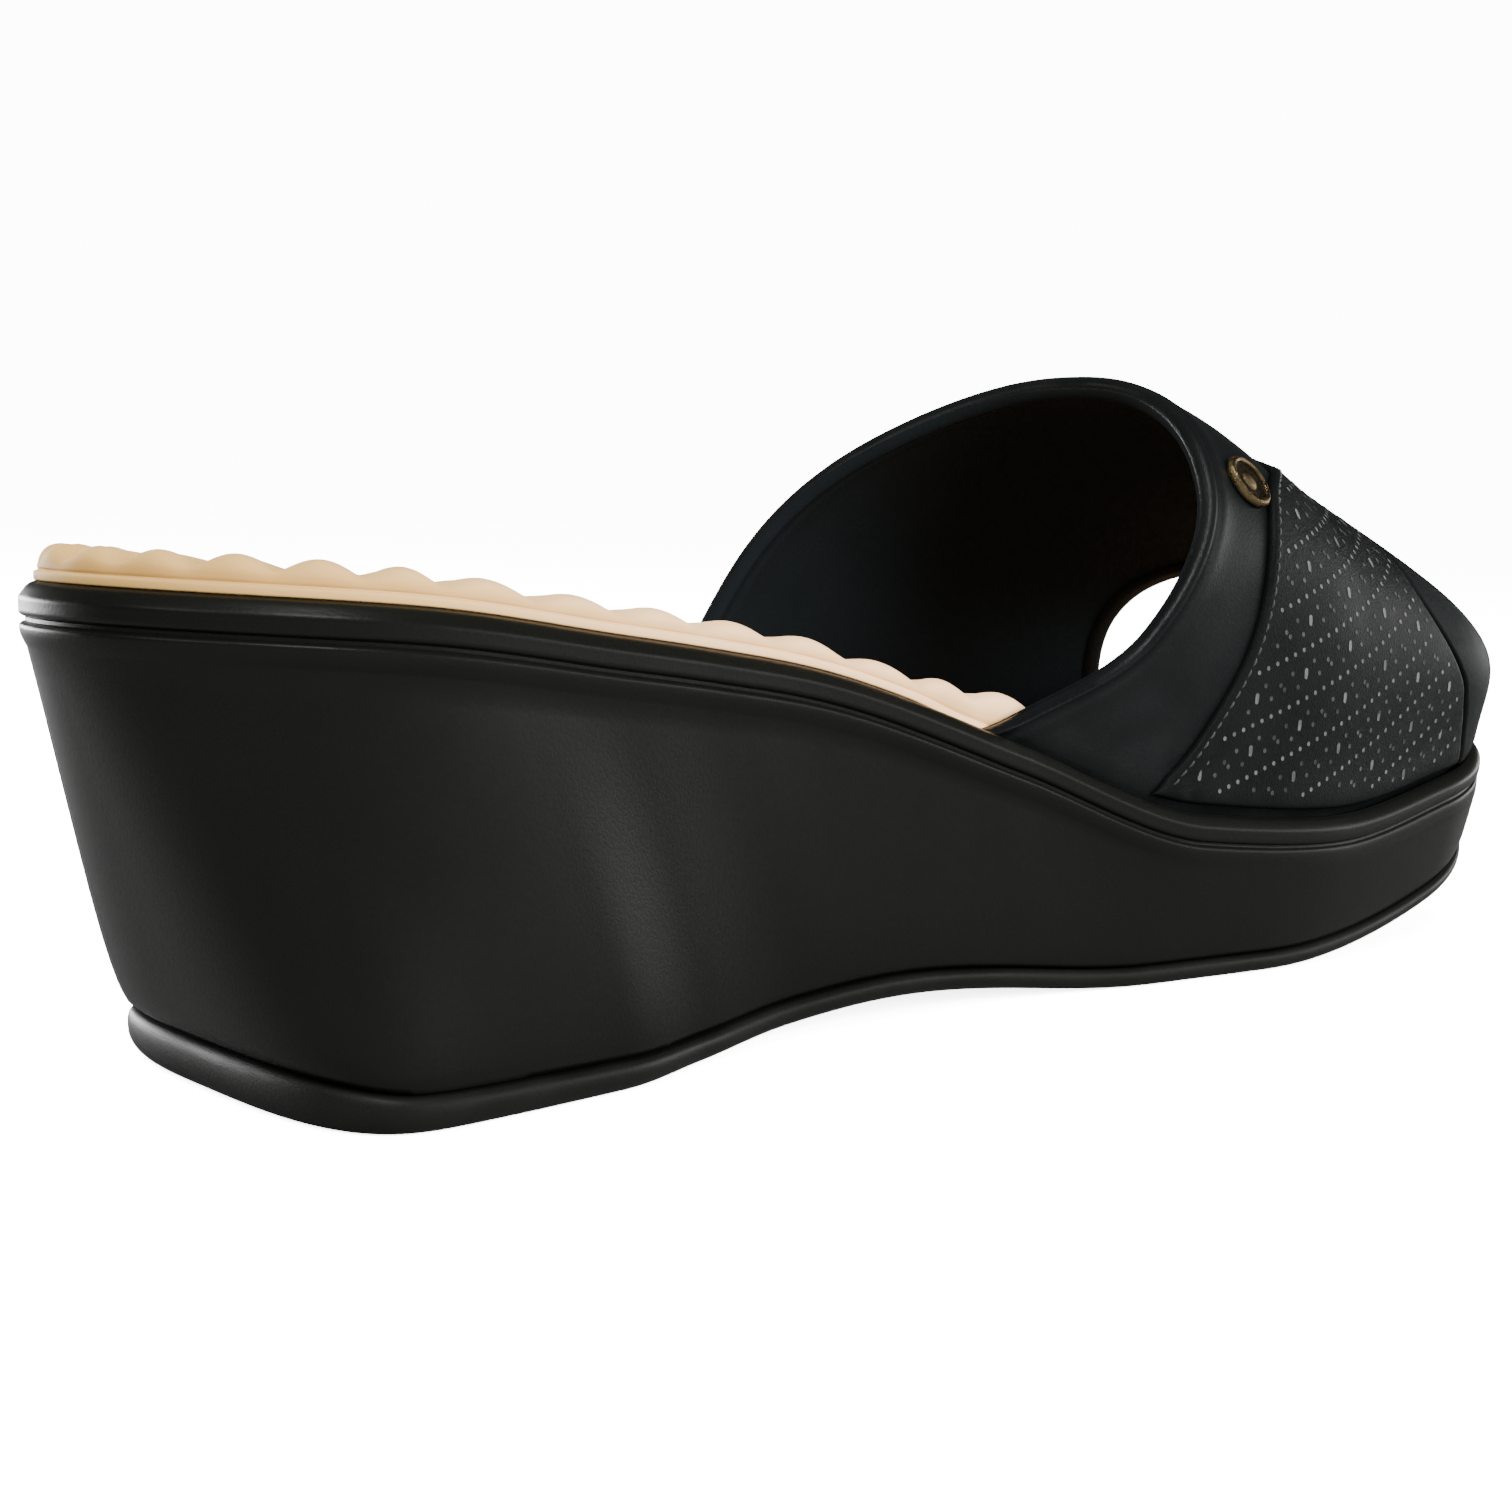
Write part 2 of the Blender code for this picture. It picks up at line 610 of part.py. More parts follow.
tread_edge = outset(ring("tread", SOLE_STEPS), OUTSOLE_PROUD)
rim_edge = ring("rim", SOLE_STEPS)
low = np.minimum(tread_edge.min(0), rim_edge.min(0))
high = np.maximum(tread_edge.max(0), rim_edge.max(0))
origin = bpy.data.objects.new("clog", None)
parts.objects.link(origin)
origin.location = (-(low[0] + high[0]) / 2 * MM, -(low[1] + high[1]) / 2 * MM, 0)

make_outsole(finish("tread rubber", (0.012, 0.012, 0.011), 0.55))
make_wedge(finish("moulded wedge", (0.016, 0.017, 0.015), 0.42))
make_footbed(finish("padded footbed", (0.70, 0.52, 0.36), 0.75))
make_upper(finish("smooth leather", (0.014, 0.015, 0.015), 0.45))
make_panel(finish("perforated leather", (0.020, 0.022, 0.022), 0.50))
make_toe_band(finish("binding leather", (0.012, 0.012, 0.012), 0.45))
make_stud(finish("bronze", (0.45, 0.30, 0.16), 0.35, 1.0))
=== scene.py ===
"""Looks of a woman's open-toe, open-back wedge mule clog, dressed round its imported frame.

Sizes are in millimetres and become metres where a mesh is made. The toe points along +X, the
medial (inner) side of this left shoe is -Y and the floor is Z = 0. Each sub-assembly is a class
that builds its own meshes from the shared last, and each finish is a small frozen dataclass.
"""

import logging
import math
from dataclasses import dataclass
from enum import Enum, IntEnum

import bmesh
import bpy
import numpy as np
from mathutils import Matrix, Vector


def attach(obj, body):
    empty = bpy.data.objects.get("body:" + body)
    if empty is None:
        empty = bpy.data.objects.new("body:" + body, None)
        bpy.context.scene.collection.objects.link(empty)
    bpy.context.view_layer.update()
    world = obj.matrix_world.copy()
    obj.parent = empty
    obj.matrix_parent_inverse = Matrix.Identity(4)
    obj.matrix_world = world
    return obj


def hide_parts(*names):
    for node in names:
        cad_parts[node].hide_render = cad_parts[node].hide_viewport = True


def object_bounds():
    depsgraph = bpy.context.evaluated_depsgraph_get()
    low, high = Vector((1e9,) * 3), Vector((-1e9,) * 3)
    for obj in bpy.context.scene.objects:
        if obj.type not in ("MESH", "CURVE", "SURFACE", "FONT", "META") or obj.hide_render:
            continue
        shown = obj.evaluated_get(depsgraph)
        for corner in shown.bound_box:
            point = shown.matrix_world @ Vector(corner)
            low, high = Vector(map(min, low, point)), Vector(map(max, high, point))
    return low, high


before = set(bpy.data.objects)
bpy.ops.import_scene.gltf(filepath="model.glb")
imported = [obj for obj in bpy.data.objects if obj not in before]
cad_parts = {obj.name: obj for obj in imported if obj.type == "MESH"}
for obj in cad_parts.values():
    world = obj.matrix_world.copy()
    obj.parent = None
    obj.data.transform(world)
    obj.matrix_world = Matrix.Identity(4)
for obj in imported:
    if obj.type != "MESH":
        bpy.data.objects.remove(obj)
CAD_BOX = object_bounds()

LOG = logging.getLogger("wedge_clog")
MM = 0.001
PHOTO_PIXELS = 1512
DENSE_STEPS = 600  # steps of the outline where it is only measured
DENSE_ANGLES = 900  # places round the upper where a row of stitches is measured
NORMAL_STEP = 0.5  # small move along X, and in degrees, that finds the upper's normal
RIDGE_ANGLE = 90.0  # the angle of the instep's ridge, where the upper's two halves meet
MIX_INPUTS = (0, 6, 7)  # share, first colour and second colour of a Mix node set to colours
MIX_OUTPUT = 2
PILLOW_ENDS = (0.0, 0.06, 0.18, 0.38, 0.66, 1.0)  # steps that crowd towards a rounded edge


class Side(Enum):
    """The two sides of the shoe."""

    MEDIAL = "medial"
    LATERAL = "lateral"


class Level(Enum):
    """The two outlines that the sole is drawn between."""

    RIM = "rim"
    TREAD = "tread"


@dataclass(frozen=True)
class Table:
    """Rows of numbers with named columns. The first column is the place of a row."""

    columns: tuple[str, ...]
    rows: tuple[tuple[float, ...], ...]

    def column(self, name: str) -> np.ndarray:
        """One named column."""
        return np.array([row[self.columns.index(name)] for row in self.rows], float)

    def curve(self, at: np.ndarray, name: str, scale: float = 1.0) -> np.ndarray:
        """A named column as a curve over the first one, with the places scaled."""
        return smooth(at, self.column(self.columns[0]) * scale, self.column(name))


def smooth(at: np.ndarray, knots: np.ndarray, values: np.ndarray) -> np.ndarray:
    """A curve through values without overshoot (monotone cubic).

    Args:
        at: places where the curve is read.
        knots: places of the values, rising.
        values: what the curve passes through.

    Returns:
        The curve's height at each place.
    """
    at = np.clip(np.asarray(at, float), knots[0], knots[-1])
    gaps = np.diff(knots)
    rises = np.diff(values) / gaps
    slopes = np.zeros(len(knots))
    slopes[0], slopes[-1] = rises[0], rises[-1]
    for i in range(1, len(knots) - 1):
        if rises[i - 1] * rises[i] > 0:
            slopes[i] = 2 * rises[i - 1] * rises[i] / (rises[i - 1] + rises[i])
    i = np.clip(np.searchsorted(knots, at, side="right") - 1, 0, len(gaps) - 1)
    t = (at - knots[i]) / gaps[i]
    start = values[i] + slopes[i] * gaps[i] * t * (1 - t) ** 2
    bend = (values[i + 1] - values[i]) * t * t * (3 - 2 * t)
    end = slopes[i + 1] * gaps[i] * t * t * (t - 1)
    return start + bend + end


def step_between(at: np.ndarray, start: float, end: float) -> np.ndarray:
    """0 before start, 1 after end, and a soft step between."""
    t = np.clip((np.asarray(at, float) - start) / (end - start), 0, 1)
    return t * t * (3 - 2 * t)


def outset(points: np.ndarray, amount: np.ndarray | float) -> np.ndarray:
    """A closed ring of flat points moved out along its own normals.

    Args:
        points: the ring, N by 2.
        amount: how far out, one number or one for each point.

    Returns:
        The moved ring.
    """
    along = np.roll(points, -1, 0) - np.roll(points, 1, 0)
    along /= np.hypot(*along.T)[:, None]
    return points + np.stack([along[:, 1], -along[:, 0]], 1) * np.reshape(amount, (-1, 1))


def lengths(points: np.ndarray, axis: int = 0) -> np.ndarray:
    """How far along its line each point lies, from 0 at the first."""
    steps = np.linalg.norm(np.diff(points, axis=axis), axis=-1)
    return np.cumsum(np.insert(steps, 0, 0, axis=axis), axis=axis)


def refine(profile: Table, steps: int) -> tuple[np.ndarray, ...]:
    """A section's columns, read at many more places with soft corners.

    Args:
        profile: a table whose first two columns are the section's coordinates.
        steps: how many places to read.

    Returns:
        The columns, refined.
    """
    columns = [profile.column(name) for name in profile.columns]
    run = lengths(np.stack(columns[:2], 1))
    at = np.linspace(0, run[-1], steps)
    return tuple(smooth(at, run, column) for column in columns)


@dataclass(frozen=True)
class Last:
    """The shoe's driving sizes, and the curves that its pieces share."""

    length: float = 262.0
    ball_width: float = 84.0
    heel_height: float = 59.0
    platform_height: float = 24.0
    toe_lift: float = 12.0
    toe_spring: float = 15.9
    spring_power: float = 1.8
    arch_rise: float = 3.2
    heel_undercut: float = 18.0
    toe_overhang: float = 2.1
    rim_heel_round: float = 38.7
    tread_heel_round: float = 18.0
    rim_heel_squareness: float = 2.0
    tread_heel_squareness_medial: float = 3.6
    tread_heel_squareness_lateral: float = 2.5
    toe_round_medial: float = 35.0
    toe_round_lateral: float = 60.0
    toe_squareness: float = 2.5
    heel_flat_end: float = 66.0
    heel_thick_end: float = 28.0
    fore_flat_start: float = 159.0
    fore_flat_end: float = 185.0
    outsole_at_back: float = 5.7
    outsole_at_heel: float = 4.35
    outsole_at_waist: float = 3.0
    outsole_at_toe: float = 3.0
    outsole_proud: float = 1.0
    rim_width: float = 2.2
    seat_depth: float = 3.0
    clearance: float = 0.3
    instep_height: float = 65.0
    ridge_inboard: float = 6.0
    bulge_medial: float = 5.5
    bulge_lateral: float = 6.5
    section_width_power: float = 0.78
    section_height_power: float = 1.08
    upper_wall: float = 2.0
    overlay_thickness: float = 1.0
    tuck_height: float = 3.6  # the leather turns in over this height above the rim
    tuck_depth: float = 1.1
    outline: Table = Table(
        (
            "station", "medial_rim", "lateral_rim", "medial_tread", "lateral_tread",
            "heel_rise", "toe_rise",
        ),
        (
            (0.00, 0.389, 0.387, 0.400, 0.330, 1.000, 0.00),
            (0.10, 0.409, 0.414, 0.412, 0.354, 0.968, 0.00),
            (0.22, 0.383, 0.417, 0.391, 0.350, 0.860, 0.00),
            (0.28, 0.363, 0.419, 0.334, 0.342, 0.802, 0.00),
            (0.35, 0.348, 0.423, 0.294, 0.335, 0.719, 0.00),
            (0.50, 0.358, 0.454, 0.310, 0.365, 0.387, 0.00),
            (0.63, 0.430, 0.500, 0.376, 0.432, 0.060, 0.00),
            (0.75, 0.467, 0.533, 0.416, 0.474, 0.000, 0.00),
            (0.87, 0.463, 0.499, 0.397, 0.440, 0.000, 0.37),
            (1.00, 0.401, 0.356, 0.344, 0.300, 0.000, 1.00),
        ),
    )
    edges: Table = Table(
        ("angle", "collar", "seam", "band", "toe"),
        (
            (0.0, 0.477, 0.592, 0.890, 0.970),
            (25.0, 0.583, 0.657, 0.876, 0.957),
            (50.0, 0.628, 0.681, 0.825, 0.936),
            (75.0, 0.639, 0.738, 0.815, 0.910),
            (100.0, 0.615, 0.742, 0.800, 0.882),
            (130.0, 0.553, 0.680, 0.790, 0.866),
            (155.0, 0.498, 0.622, 0.790, 0.865),
            (180.0, 0.447, 0.572, 0.797, 0.870),
        ),
    )
    ridge: Table = Table(
        ("station", "height"),
        (
            (0.440, 0.690),
            (0.553, 0.898),
            (0.649, 1.000),
            (0.763, 0.827),
            (0.878, 0.556),
            (0.985, 0.215),
        ),
    )
    crease_lip: float = 0.5  # height of the ridge beside a crease, over the crease's depth
    crease_lip_place: float = 1.9  # where that ridge lies, over the crease's width
    creases: Table = Table(
        ("x", "up", "lean", "reach", "width", "depth"),
        (
            (159.0, 4.5, 72.0, 4.5, 1.0, 0.55),
            (162.5, 3.0, 118.0, 3.0, 0.8, 0.35),
            (165.5, 7.5, 60.0, 3.6, 0.9, 0.30),
            (154.0, 9.0, 35.0, 6.0, 1.6, 0.22),
            (150.0, 20.0, 48.0, 9.0, 2.6, 0.22),
            (141.0, 14.0, 40.0, 9.0, 3.0, 0.25),
            (214.0, 6.0, 20.0, 7.0, 1.8, 0.20),
            (226.0, 9.0, 38.0, 6.0, 1.6, 0.22),
            (203.0, 12.0, 30.0, 8.0, 2.6, 0.18),
        ),
    )

    def reach(self, level: Level) -> tuple[float, float]:
        """Where an outline starts at the heel and ends at the toe.

        Args:
            level: rim or tread.

        Returns:
            Both places along the shoe.
        """
        if level is Level.RIM:
            return 0.0, self.length
        return self.heel_undercut, self.length + self.toe_overhang

    def rim_z(self, x: np.ndarray) -> np.ndarray:
        """Height of the rim's top.

        Args:
            x: places along the shoe.

        Returns:
            A height above the floor for each place.
        """
        heel, toe = (self.outline.curve(x, n, self.length) for n in ("heel_rise", "toe_rise"))
        lift = (self.heel_height - self.platform_height) * heel
        return self.platform_height + lift + self.toe_lift * toe

    def over_rim(self, points: np.ndarray, above: np.ndarray | float) -> np.ndarray:
        """Flat points set at a height above the rim's top."""
        return np.column_stack([points, self.rim_z(points[:, 0]) + above])

    def tread_z(self, x: np.ndarray) -> np.ndarray:
        """Height of the tread's underside: flat at heel and ball, hollow waist, sprung toe.

        Args:
            x: places along the shoe.

        Returns:
            A height above the floor for each place.
        """
        span = self.fore_flat_start - self.heel_flat_end
        across = np.clip((x - self.heel_flat_end) / span, 0, 1)
        arch = self.arch_rise * (1 - np.cos(2 * math.pi * across)) / 2
        ahead = np.clip((x - self.fore_flat_end) / (self.length - self.fore_flat_end), 0, None)
        return arch + self.toe_spring * ahead**self.spring_power

    def outsole_thickness(self, x: np.ndarray) -> np.ndarray:
        """Thickness of the outsole along the shoe.

        Args:
            x: places along the shoe.

        Returns:
            A thickness for each place.
        """
        rows = (
            (self.heel_undercut, self.outsole_at_back),
            (self.heel_thick_end, self.outsole_at_heel),
            (self.fore_flat_start, self.outsole_at_waist),
            (self.length, self.outsole_at_toe),
        )
        return Table(("place", "thickness"), rows).curve(x, "thickness")

    def half_width(self, x: np.ndarray, side: Side, level: Level) -> np.ndarray:
        """Half width of an outline.

        Args:
            x: places along the shoe.
            side: medial or lateral.
            level: rim or tread.

        Returns:
            The distance from the shoe's axis to the outline.
        """
        back, front = self.reach(level)
        heel_round, square = self.rim_heel_round, self.rim_heel_squareness
        if level is Level.TREAD:
            heel_round, square = self.tread_heel_round, self.tread_heel_squareness_lateral
            if side is Side.MEDIAL:
                square = self.tread_heel_squareness_medial
        toe_round = self.toe_round_medial if side is Side.MEDIAL else self.toe_round_lateral
        behind = np.clip((back + heel_round - x) / heel_round, 0, 1)
        ahead = np.clip((x - front + toe_round) / toe_round, 0, 1)
        power = self.toe_squareness
        rounding = (1 - behind**square) ** (1 / square) * (1 - ahead**power) ** (1 / power)
        width = self.outline.curve(x, f"{side.value}_{level.value}", self.length)
        return self.ball_width * width * rounding

    def sides(self, level: Level, steps: int) -> tuple[np.ndarray, np.ndarray]:
        """An outline's two sides.

        Args:
            level: rim or tread.
            steps: how many steps a side has, closer together at its ends.

        Returns:
            The medial and the lateral side, each a line of points from heel to toe.
        """
        back, front = self.reach(level)
        x = back + (front - back) * (1 - np.cos(np.linspace(0, math.pi, steps + 1))) / 2
        medial = np.stack([x, -self.half_width(x, Side.MEDIAL, level)], 1)
        return medial, np.stack([x, self.half_width(x, Side.LATERAL, level)], 1)

    def ring(self, level: Level, steps: int) -> np.ndarray:
        """An outline as a ring of points: heel to toe on the medial side, then back."""
        medial, lateral = self.sides(level, steps)
        return np.concatenate([medial, lateral[-2:0:-1]])

    def inset_width(self, x: np.ndarray, side: Side, inset: float) -> np.ndarray:
        """Half width at x of the rim's outline moved in along its normals.

        Args:
            x: places along the shoe.
            side: medial or lateral.
            inset: how far the outline moves in.

        Returns:
            The distance from the shoe's axis to the moved outline.
        """
        points = outset(self.ring(Level.RIM, DENSE_STEPS), -inset)
        if side is Side.MEDIAL:
            return np.interp(x, points[: DENSE_STEPS + 1, 0], -points[: DENSE_STEPS + 1, 1])
        back = np.roll(points, -1, 0)[: DENSE_STEPS - 2 : -1]
        return np.interp(x, back[:, 0], back[:, 1])

    def edge_at(self, angle: np.ndarray, name: str) -> np.ndarray:
        """Where a named edge of the upper lies along X, by angle in degrees."""
        return self.length * self.edges.curve(angle, name)

    def face(self, x: np.ndarray, angle: np.ndarray) -> np.ndarray:
        """Points of the upper's outer face at places x and angles in degrees.

        Args:
            x: places along the shoe.
            angle: angles round the foot in degrees, from 0 on the medial side to 180.

        Returns:
            A point for each place and angle.
        """
        turn = np.radians(angle)
        across, up = np.cos(turn), np.sin(turn)
        medial = across > 0
        bare = self.rim_width + self.clearance
        width = np.where(
            medial,
            self.inset_width(x, Side.MEDIAL, bare),
            self.inset_width(x, Side.LATERAL, bare),
        )
        bulge = np.where(medial, self.bulge_medial, self.bulge_lateral) * np.sin(2 * turn) ** 2
        reach = width * np.abs(across) ** self.section_width_power + bulge
        height = self.instep_height * self.ridge.curve(x, "height", self.length)
        rise = height * up**self.section_height_power
        y = np.where(medial, -reach, reach) - self.ridge_inboard * up**2
        return np.stack([x, y, self.rim_z(x) + rise], -1)

    def upper_frame(self, x: np.ndarray, angle: np.ndarray) -> tuple[np.ndarray, ...]:
        """The upper's outer face with its directions.

        Args:
            x: places along the shoe.
            angle: angles round the foot in degrees.

        Returns:
            Points, unit directions along the shoe, unit directions round the foot, unit normals.
        """
        along = self.face(x + NORMAL_STEP, angle) - self.face(x - NORMAL_STEP, angle)
        lower = np.clip(angle - NORMAL_STEP, 0, 180)
        higher = np.clip(angle + NORMAL_STEP, 0, 180)
        over = self.face(x, higher) - self.face(x, lower)
        normal = np.cross(along, over)
        return tuple(
            [self.face(x, angle)]
            + [v / np.linalg.norm(v, axis=-1, keepdims=True) for v in (along, over, normal)]
        )

    def crease_depth(self, x: np.ndarray, points: np.ndarray) -> np.ndarray:
        """How deep the leather's soft creases lie under its face.

        Args:
            x: places along the shoe.
            points: the face's points there.

        Returns:
            A depth for each point, with a low ridge beside each trough.
        """
        above = points[..., 2] - self.rim_z(x)
        depth = np.zeros(np.shape(above))
        for at, up, lean, reach, width, deep in self.creases.rows:
            turn = math.radians(lean)
            ahead, over = x - at, above - up
            along = (ahead * math.cos(turn) + over * math.sin(turn)) / reach
            across = (over * math.cos(turn) - ahead * math.sin(turn)) / width
            beside = np.exp(-((across - self.crease_lip_place) ** 2))
            trough = np.exp(-(across**2)) - self.crease_lip * beside
            depth += deep * trough * np.exp(-(along**2))
        return depth

    def skin(self, x: np.ndarray, angle: np.ndarray, lift: np.ndarray | float) -> np.ndarray:
        """Points over the upper's outer face: creased, and turned in above the rim.

        Args:
            x: places along the shoe.
            angle: angles round the foot in degrees.
            lift: how far off the face, one number or one for each point.

        Returns:
            The points.
        """
        points, _, _, normal = self.upper_frame(x, angle)
        above = points[..., 2] - self.rim_z(x)
        lift = lift - self.crease_depth(x, points)
        tuck = self.tuck_depth * np.clip(1 - above / self.tuck_height, 0, 1) ** 2
        sunk = points + (np.asarray(lift)[..., None] if np.ndim(lift) else lift) * normal
        sunk[..., 1] += np.where(angle < 90, tuck, -tuck)
        return sunk


LAST = Last()


def shoe_shift() -> Vector:
    """Moves the last's own frame, heel back at X = 0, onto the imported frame.

    Returns:
        The move, in metres.
    """
    tread = outset(LAST.ring(Level.TREAD, DENSE_STEPS), LAST.outsole_proud)
    rim = LAST.ring(Level.RIM, DENSE_STEPS)
    low = np.minimum(tread.min(0), rim.min(0)) * MM
    return Vector((CAD_BOX[0].x - low[0], CAD_BOX[0].y - low[1], 0))


SHIFT = shoe_shift()


def place(points: np.ndarray) -> np.ndarray:
    """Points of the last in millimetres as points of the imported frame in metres."""
    return points * MM + np.array(SHIFT)


def ring_faces(rows: int, count: int, closed: bool = True) -> np.ndarray:
    """Quads between successive rows of points.

    Args:
        rows: number of rows.
        count: points in each row.
        closed: whether a row runs round and meets its own start.

    Returns:
        Four point numbers for each face.
    """
    i = np.arange(rows - 1)[:, None] * count
    j = np.arange(count if closed else count - 1)[None]
    k = (j + 1) % count
    return np.stack([i + j, i + k, i + count + k, i + count + j], -1).reshape(-1, 4)


def ladder(count: int, first: int, down: bool) -> list[tuple[int, ...]]:
    """Faces from side to side across a ring that starts at the heel's middle.

    Args:
        count: points in the ring.
        first: number of the ring's first point.
        down: whether the faces look down.

    Returns:
        Point numbers for each face.
    """
    half = count // 2
    faces = []
    for i in range(half):
        rung = [i, i + 1, count - i - 1, (count - i) % count]
        if i == 0:
            rung.pop()
        elif i == half - 1:
            rung.pop(2)
        face = tuple(first + v for v in rung)
        faces.append(face[::-1] if down else face)
    return faces


def stacked(rings: list[np.ndarray]) -> tuple[np.ndarray, list]:
    """A body of rings that start at the heel's middle, closed below and above.

    Args:
        rings: rings of points, from the lowest up.

    Returns:
        All the points, and the faces between them.
    """
    count = len(rings[0])
    faces = ring_faces(len(rings), count).tolist()
    faces += ladder(count, 0, True) + ladder(count, (len(rings) - 1) * count, False)
    return np.concatenate(rings), faces


def tube_faces(rows: int, count: int) -> list[list[int]]:
    """The faces of a closed tube: quads between its rings, then a cap at each end."""
    caps = [list(range(count)), list(range((rows - 1) * count, rows * count))]
    return ring_faces(rows, count).tolist() + caps


def spokes(count: int) -> tuple[np.ndarray, np.ndarray]:
    """Cosines and sines of even turns round a circle, each as a column."""
    turn = np.linspace(0, 2 * math.pi, count, endpoint=False)[:, None]
    return np.cos(turn), np.sin(turn)


@dataclass
class Piece:
    """One piece of the shoe: its mesh, finishes and what it stands for."""

    name: str
    points: np.ndarray
    faces: list
    materials: list[bpy.types.Material]
    slot: str
    stands_for: tuple[str, ...] = ()
    finishes: np.ndarray | None = None
    sharp: float = 50.0  # edges that turn more than this, in degrees, stay sharp
    marks: np.ndarray | None = None  # a value at each point that the finish can read

    def build(self) -> bpy.types.Object:
        """Makes the mesh, dresses it and hands it to the frame.

        Returns:
            The piece's object.
        """
        mesh = bpy.data.meshes.new(self.name)
        mesh.from_pydata(place(self.points).tolist(), [], [tuple(map(int, f)) for f in self.faces])
        if self.finishes is not None:
            mesh.polygons.foreach_set("material_index", np.asarray(self.finishes, np.int32))
        for material in self.materials:
            mesh.materials.append(material)
        net = bmesh.new()
        net.from_mesh(mesh)
        bmesh.ops.recalc_face_normals(net, faces=net.faces)
        net.to_mesh(mesh)
        net.free()
        if self.marks is not None:
            values = mesh.attributes.new("mark", "FLOAT", "POINT").data
            values.foreach_set("value", self.marks.astype(np.float32))
        mesh.shade_smooth()
        mesh.set_sharp_from_angle(angle=math.radians(self.sharp))
        obj = bpy.data.objects.new(self.name, mesh)
        bpy.context.scene.collection.objects.link(obj)
        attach(obj, "root")
        if self.stands_for:
            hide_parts(*self.stands_for)
        LOG.info("%s: %d faces", self.name, len(mesh.polygons))
        return obj


class Nodes:
    """Short ways to build a node tree."""

    def __init__(self, tree: bpy.types.NodeTree) -> None:
        """Keeps the tree that the nodes go into."""
        self.tree = tree

    def add(self, kind: str, **settings: object) -> bpy.types.Node:
        """A new node with its settings.

        Args:
            kind: the node's type.
            settings: its properties by name.

        Returns:
            The node.
        """
        node = self.tree.nodes.new(kind)
        for key, value in settings.items():
            setattr(node, key, value)
        return node

    def link(self, source: bpy.types.NodeSocket, target: bpy.types.NodeSocket) -> None:
        """Joins two sockets."""
        self.tree.links.new(source, target)

    def feed(self, target: bpy.types.NodeSocket, value: object) -> None:
        """Sets a socket to a number or colour, or links it.

        Args:
            target: the socket.
            value: a number, a colour or another socket.
        """
        if isinstance(value, bpy.types.NodeSocket):
            self.link(value, target)
        elif isinstance(value, tuple):
            target.default_value = (*value, 1.0)[: len(target.default_value)]
        else:
            target.default_value = value

    def math(self, operation: str, *values: object) -> bpy.types.NodeSocket:
        """A Math node's result.

        Args:
            operation: what the node works out.
            values: numbers or sockets, in order.

        Returns:
            The result.
        """
        node = self.add("ShaderNodeMath", operation=operation)
        for socket, value in zip(node.inputs, values):
            self.feed(socket, value)
        return node.outputs[0]

    def between(
        self, value: object, low: float, high: float, to: tuple[float, float] = (0, 1)
    ) -> bpy.types.NodeSocket:
        """A value mapped softly from one range to another, and clamped.

        Args:
            value: a number or a socket.
            low: where the first range starts.
            high: where it ends.
            to: the second range.

        Returns:
            The mapped value.
        """
        node = self.add("ShaderNodeMapRange", interpolation_type="SMOOTHSTEP")
        names = ("Value", "From Min", "From Max", "To Min", "To Max")
        for name, number in zip(names, (value, low, high, *to)):
            self.feed(node.inputs[name], number)
        return node.outputs["Result"]

    def blend(
        self, share: object, first: object, second: object, mode: str = "MIX"
    ) -> bpy.types.NodeSocket:
        """A mix of two colours.

        Args:
            share: how much of the second colour shows.
            first: the first colour.
            second: the second colour.
            mode: how the second goes over the first.

        Returns:
            The mixed colour.
        """
        node = self.add("ShaderNodeMix", data_type="RGBA", blend_type=mode)
        for number, value in zip(MIX_INPUTS, (share, first, second)):
            self.feed(node.inputs[number], value)
        return node.outputs[MIX_OUTPUT]

    def noise(self, scale: object, detail: float = 2.0, output: str = "Fac") -> bpy.types.NodeSocket:
        """Noise over the piece.

        Args:
            scale: waves per metre.
            detail: how many finer noises are added.
            output: the output to read, a value or a colour.

        Returns:
            The noise.
        """
        node = self.add("ShaderNodeTexNoise")
        self.feed(node.inputs["Scale"], scale)
        self.feed(node.inputs["Detail"], detail)
        self.link(self.place(), node.inputs["Vector"])
        return node.outputs[output]

    def cells(self, scale: object, feature: str = "F1", vector: object = None) -> bpy.types.Node:
        """Voronoi cells over the piece.

        Args:
            scale: cells per metre.
            feature: what is measured in a cell.
            vector: the place to read, the point's own where it is None.

        Returns:
            The node.
        """
        node = self.add("ShaderNodeTexVoronoi", feature=feature)
        self.feed(node.inputs["Scale"], scale)
        self.link(vector or self.place(), node.inputs["Vector"])
        return node

    def place(self) -> bpy.types.NodeSocket:
        """The point's place in the piece, in metres."""
        return self.add("ShaderNodeTexCoord").outputs["Object"]

    def group(self, name: str, **values: object) -> bpy.types.Node:
        """A shared effect, with its own values.

        Args:
            name: the effect's name.
            values: a number, a colour or a socket for each named input.

        Returns:
            The group's node.
        """
        node = self.add("ShaderNodeGroup")
        node.node_tree = bpy.data.node_groups[name]
        for key, value in values.items():
            self.feed(node.inputs[key], value)
        return node


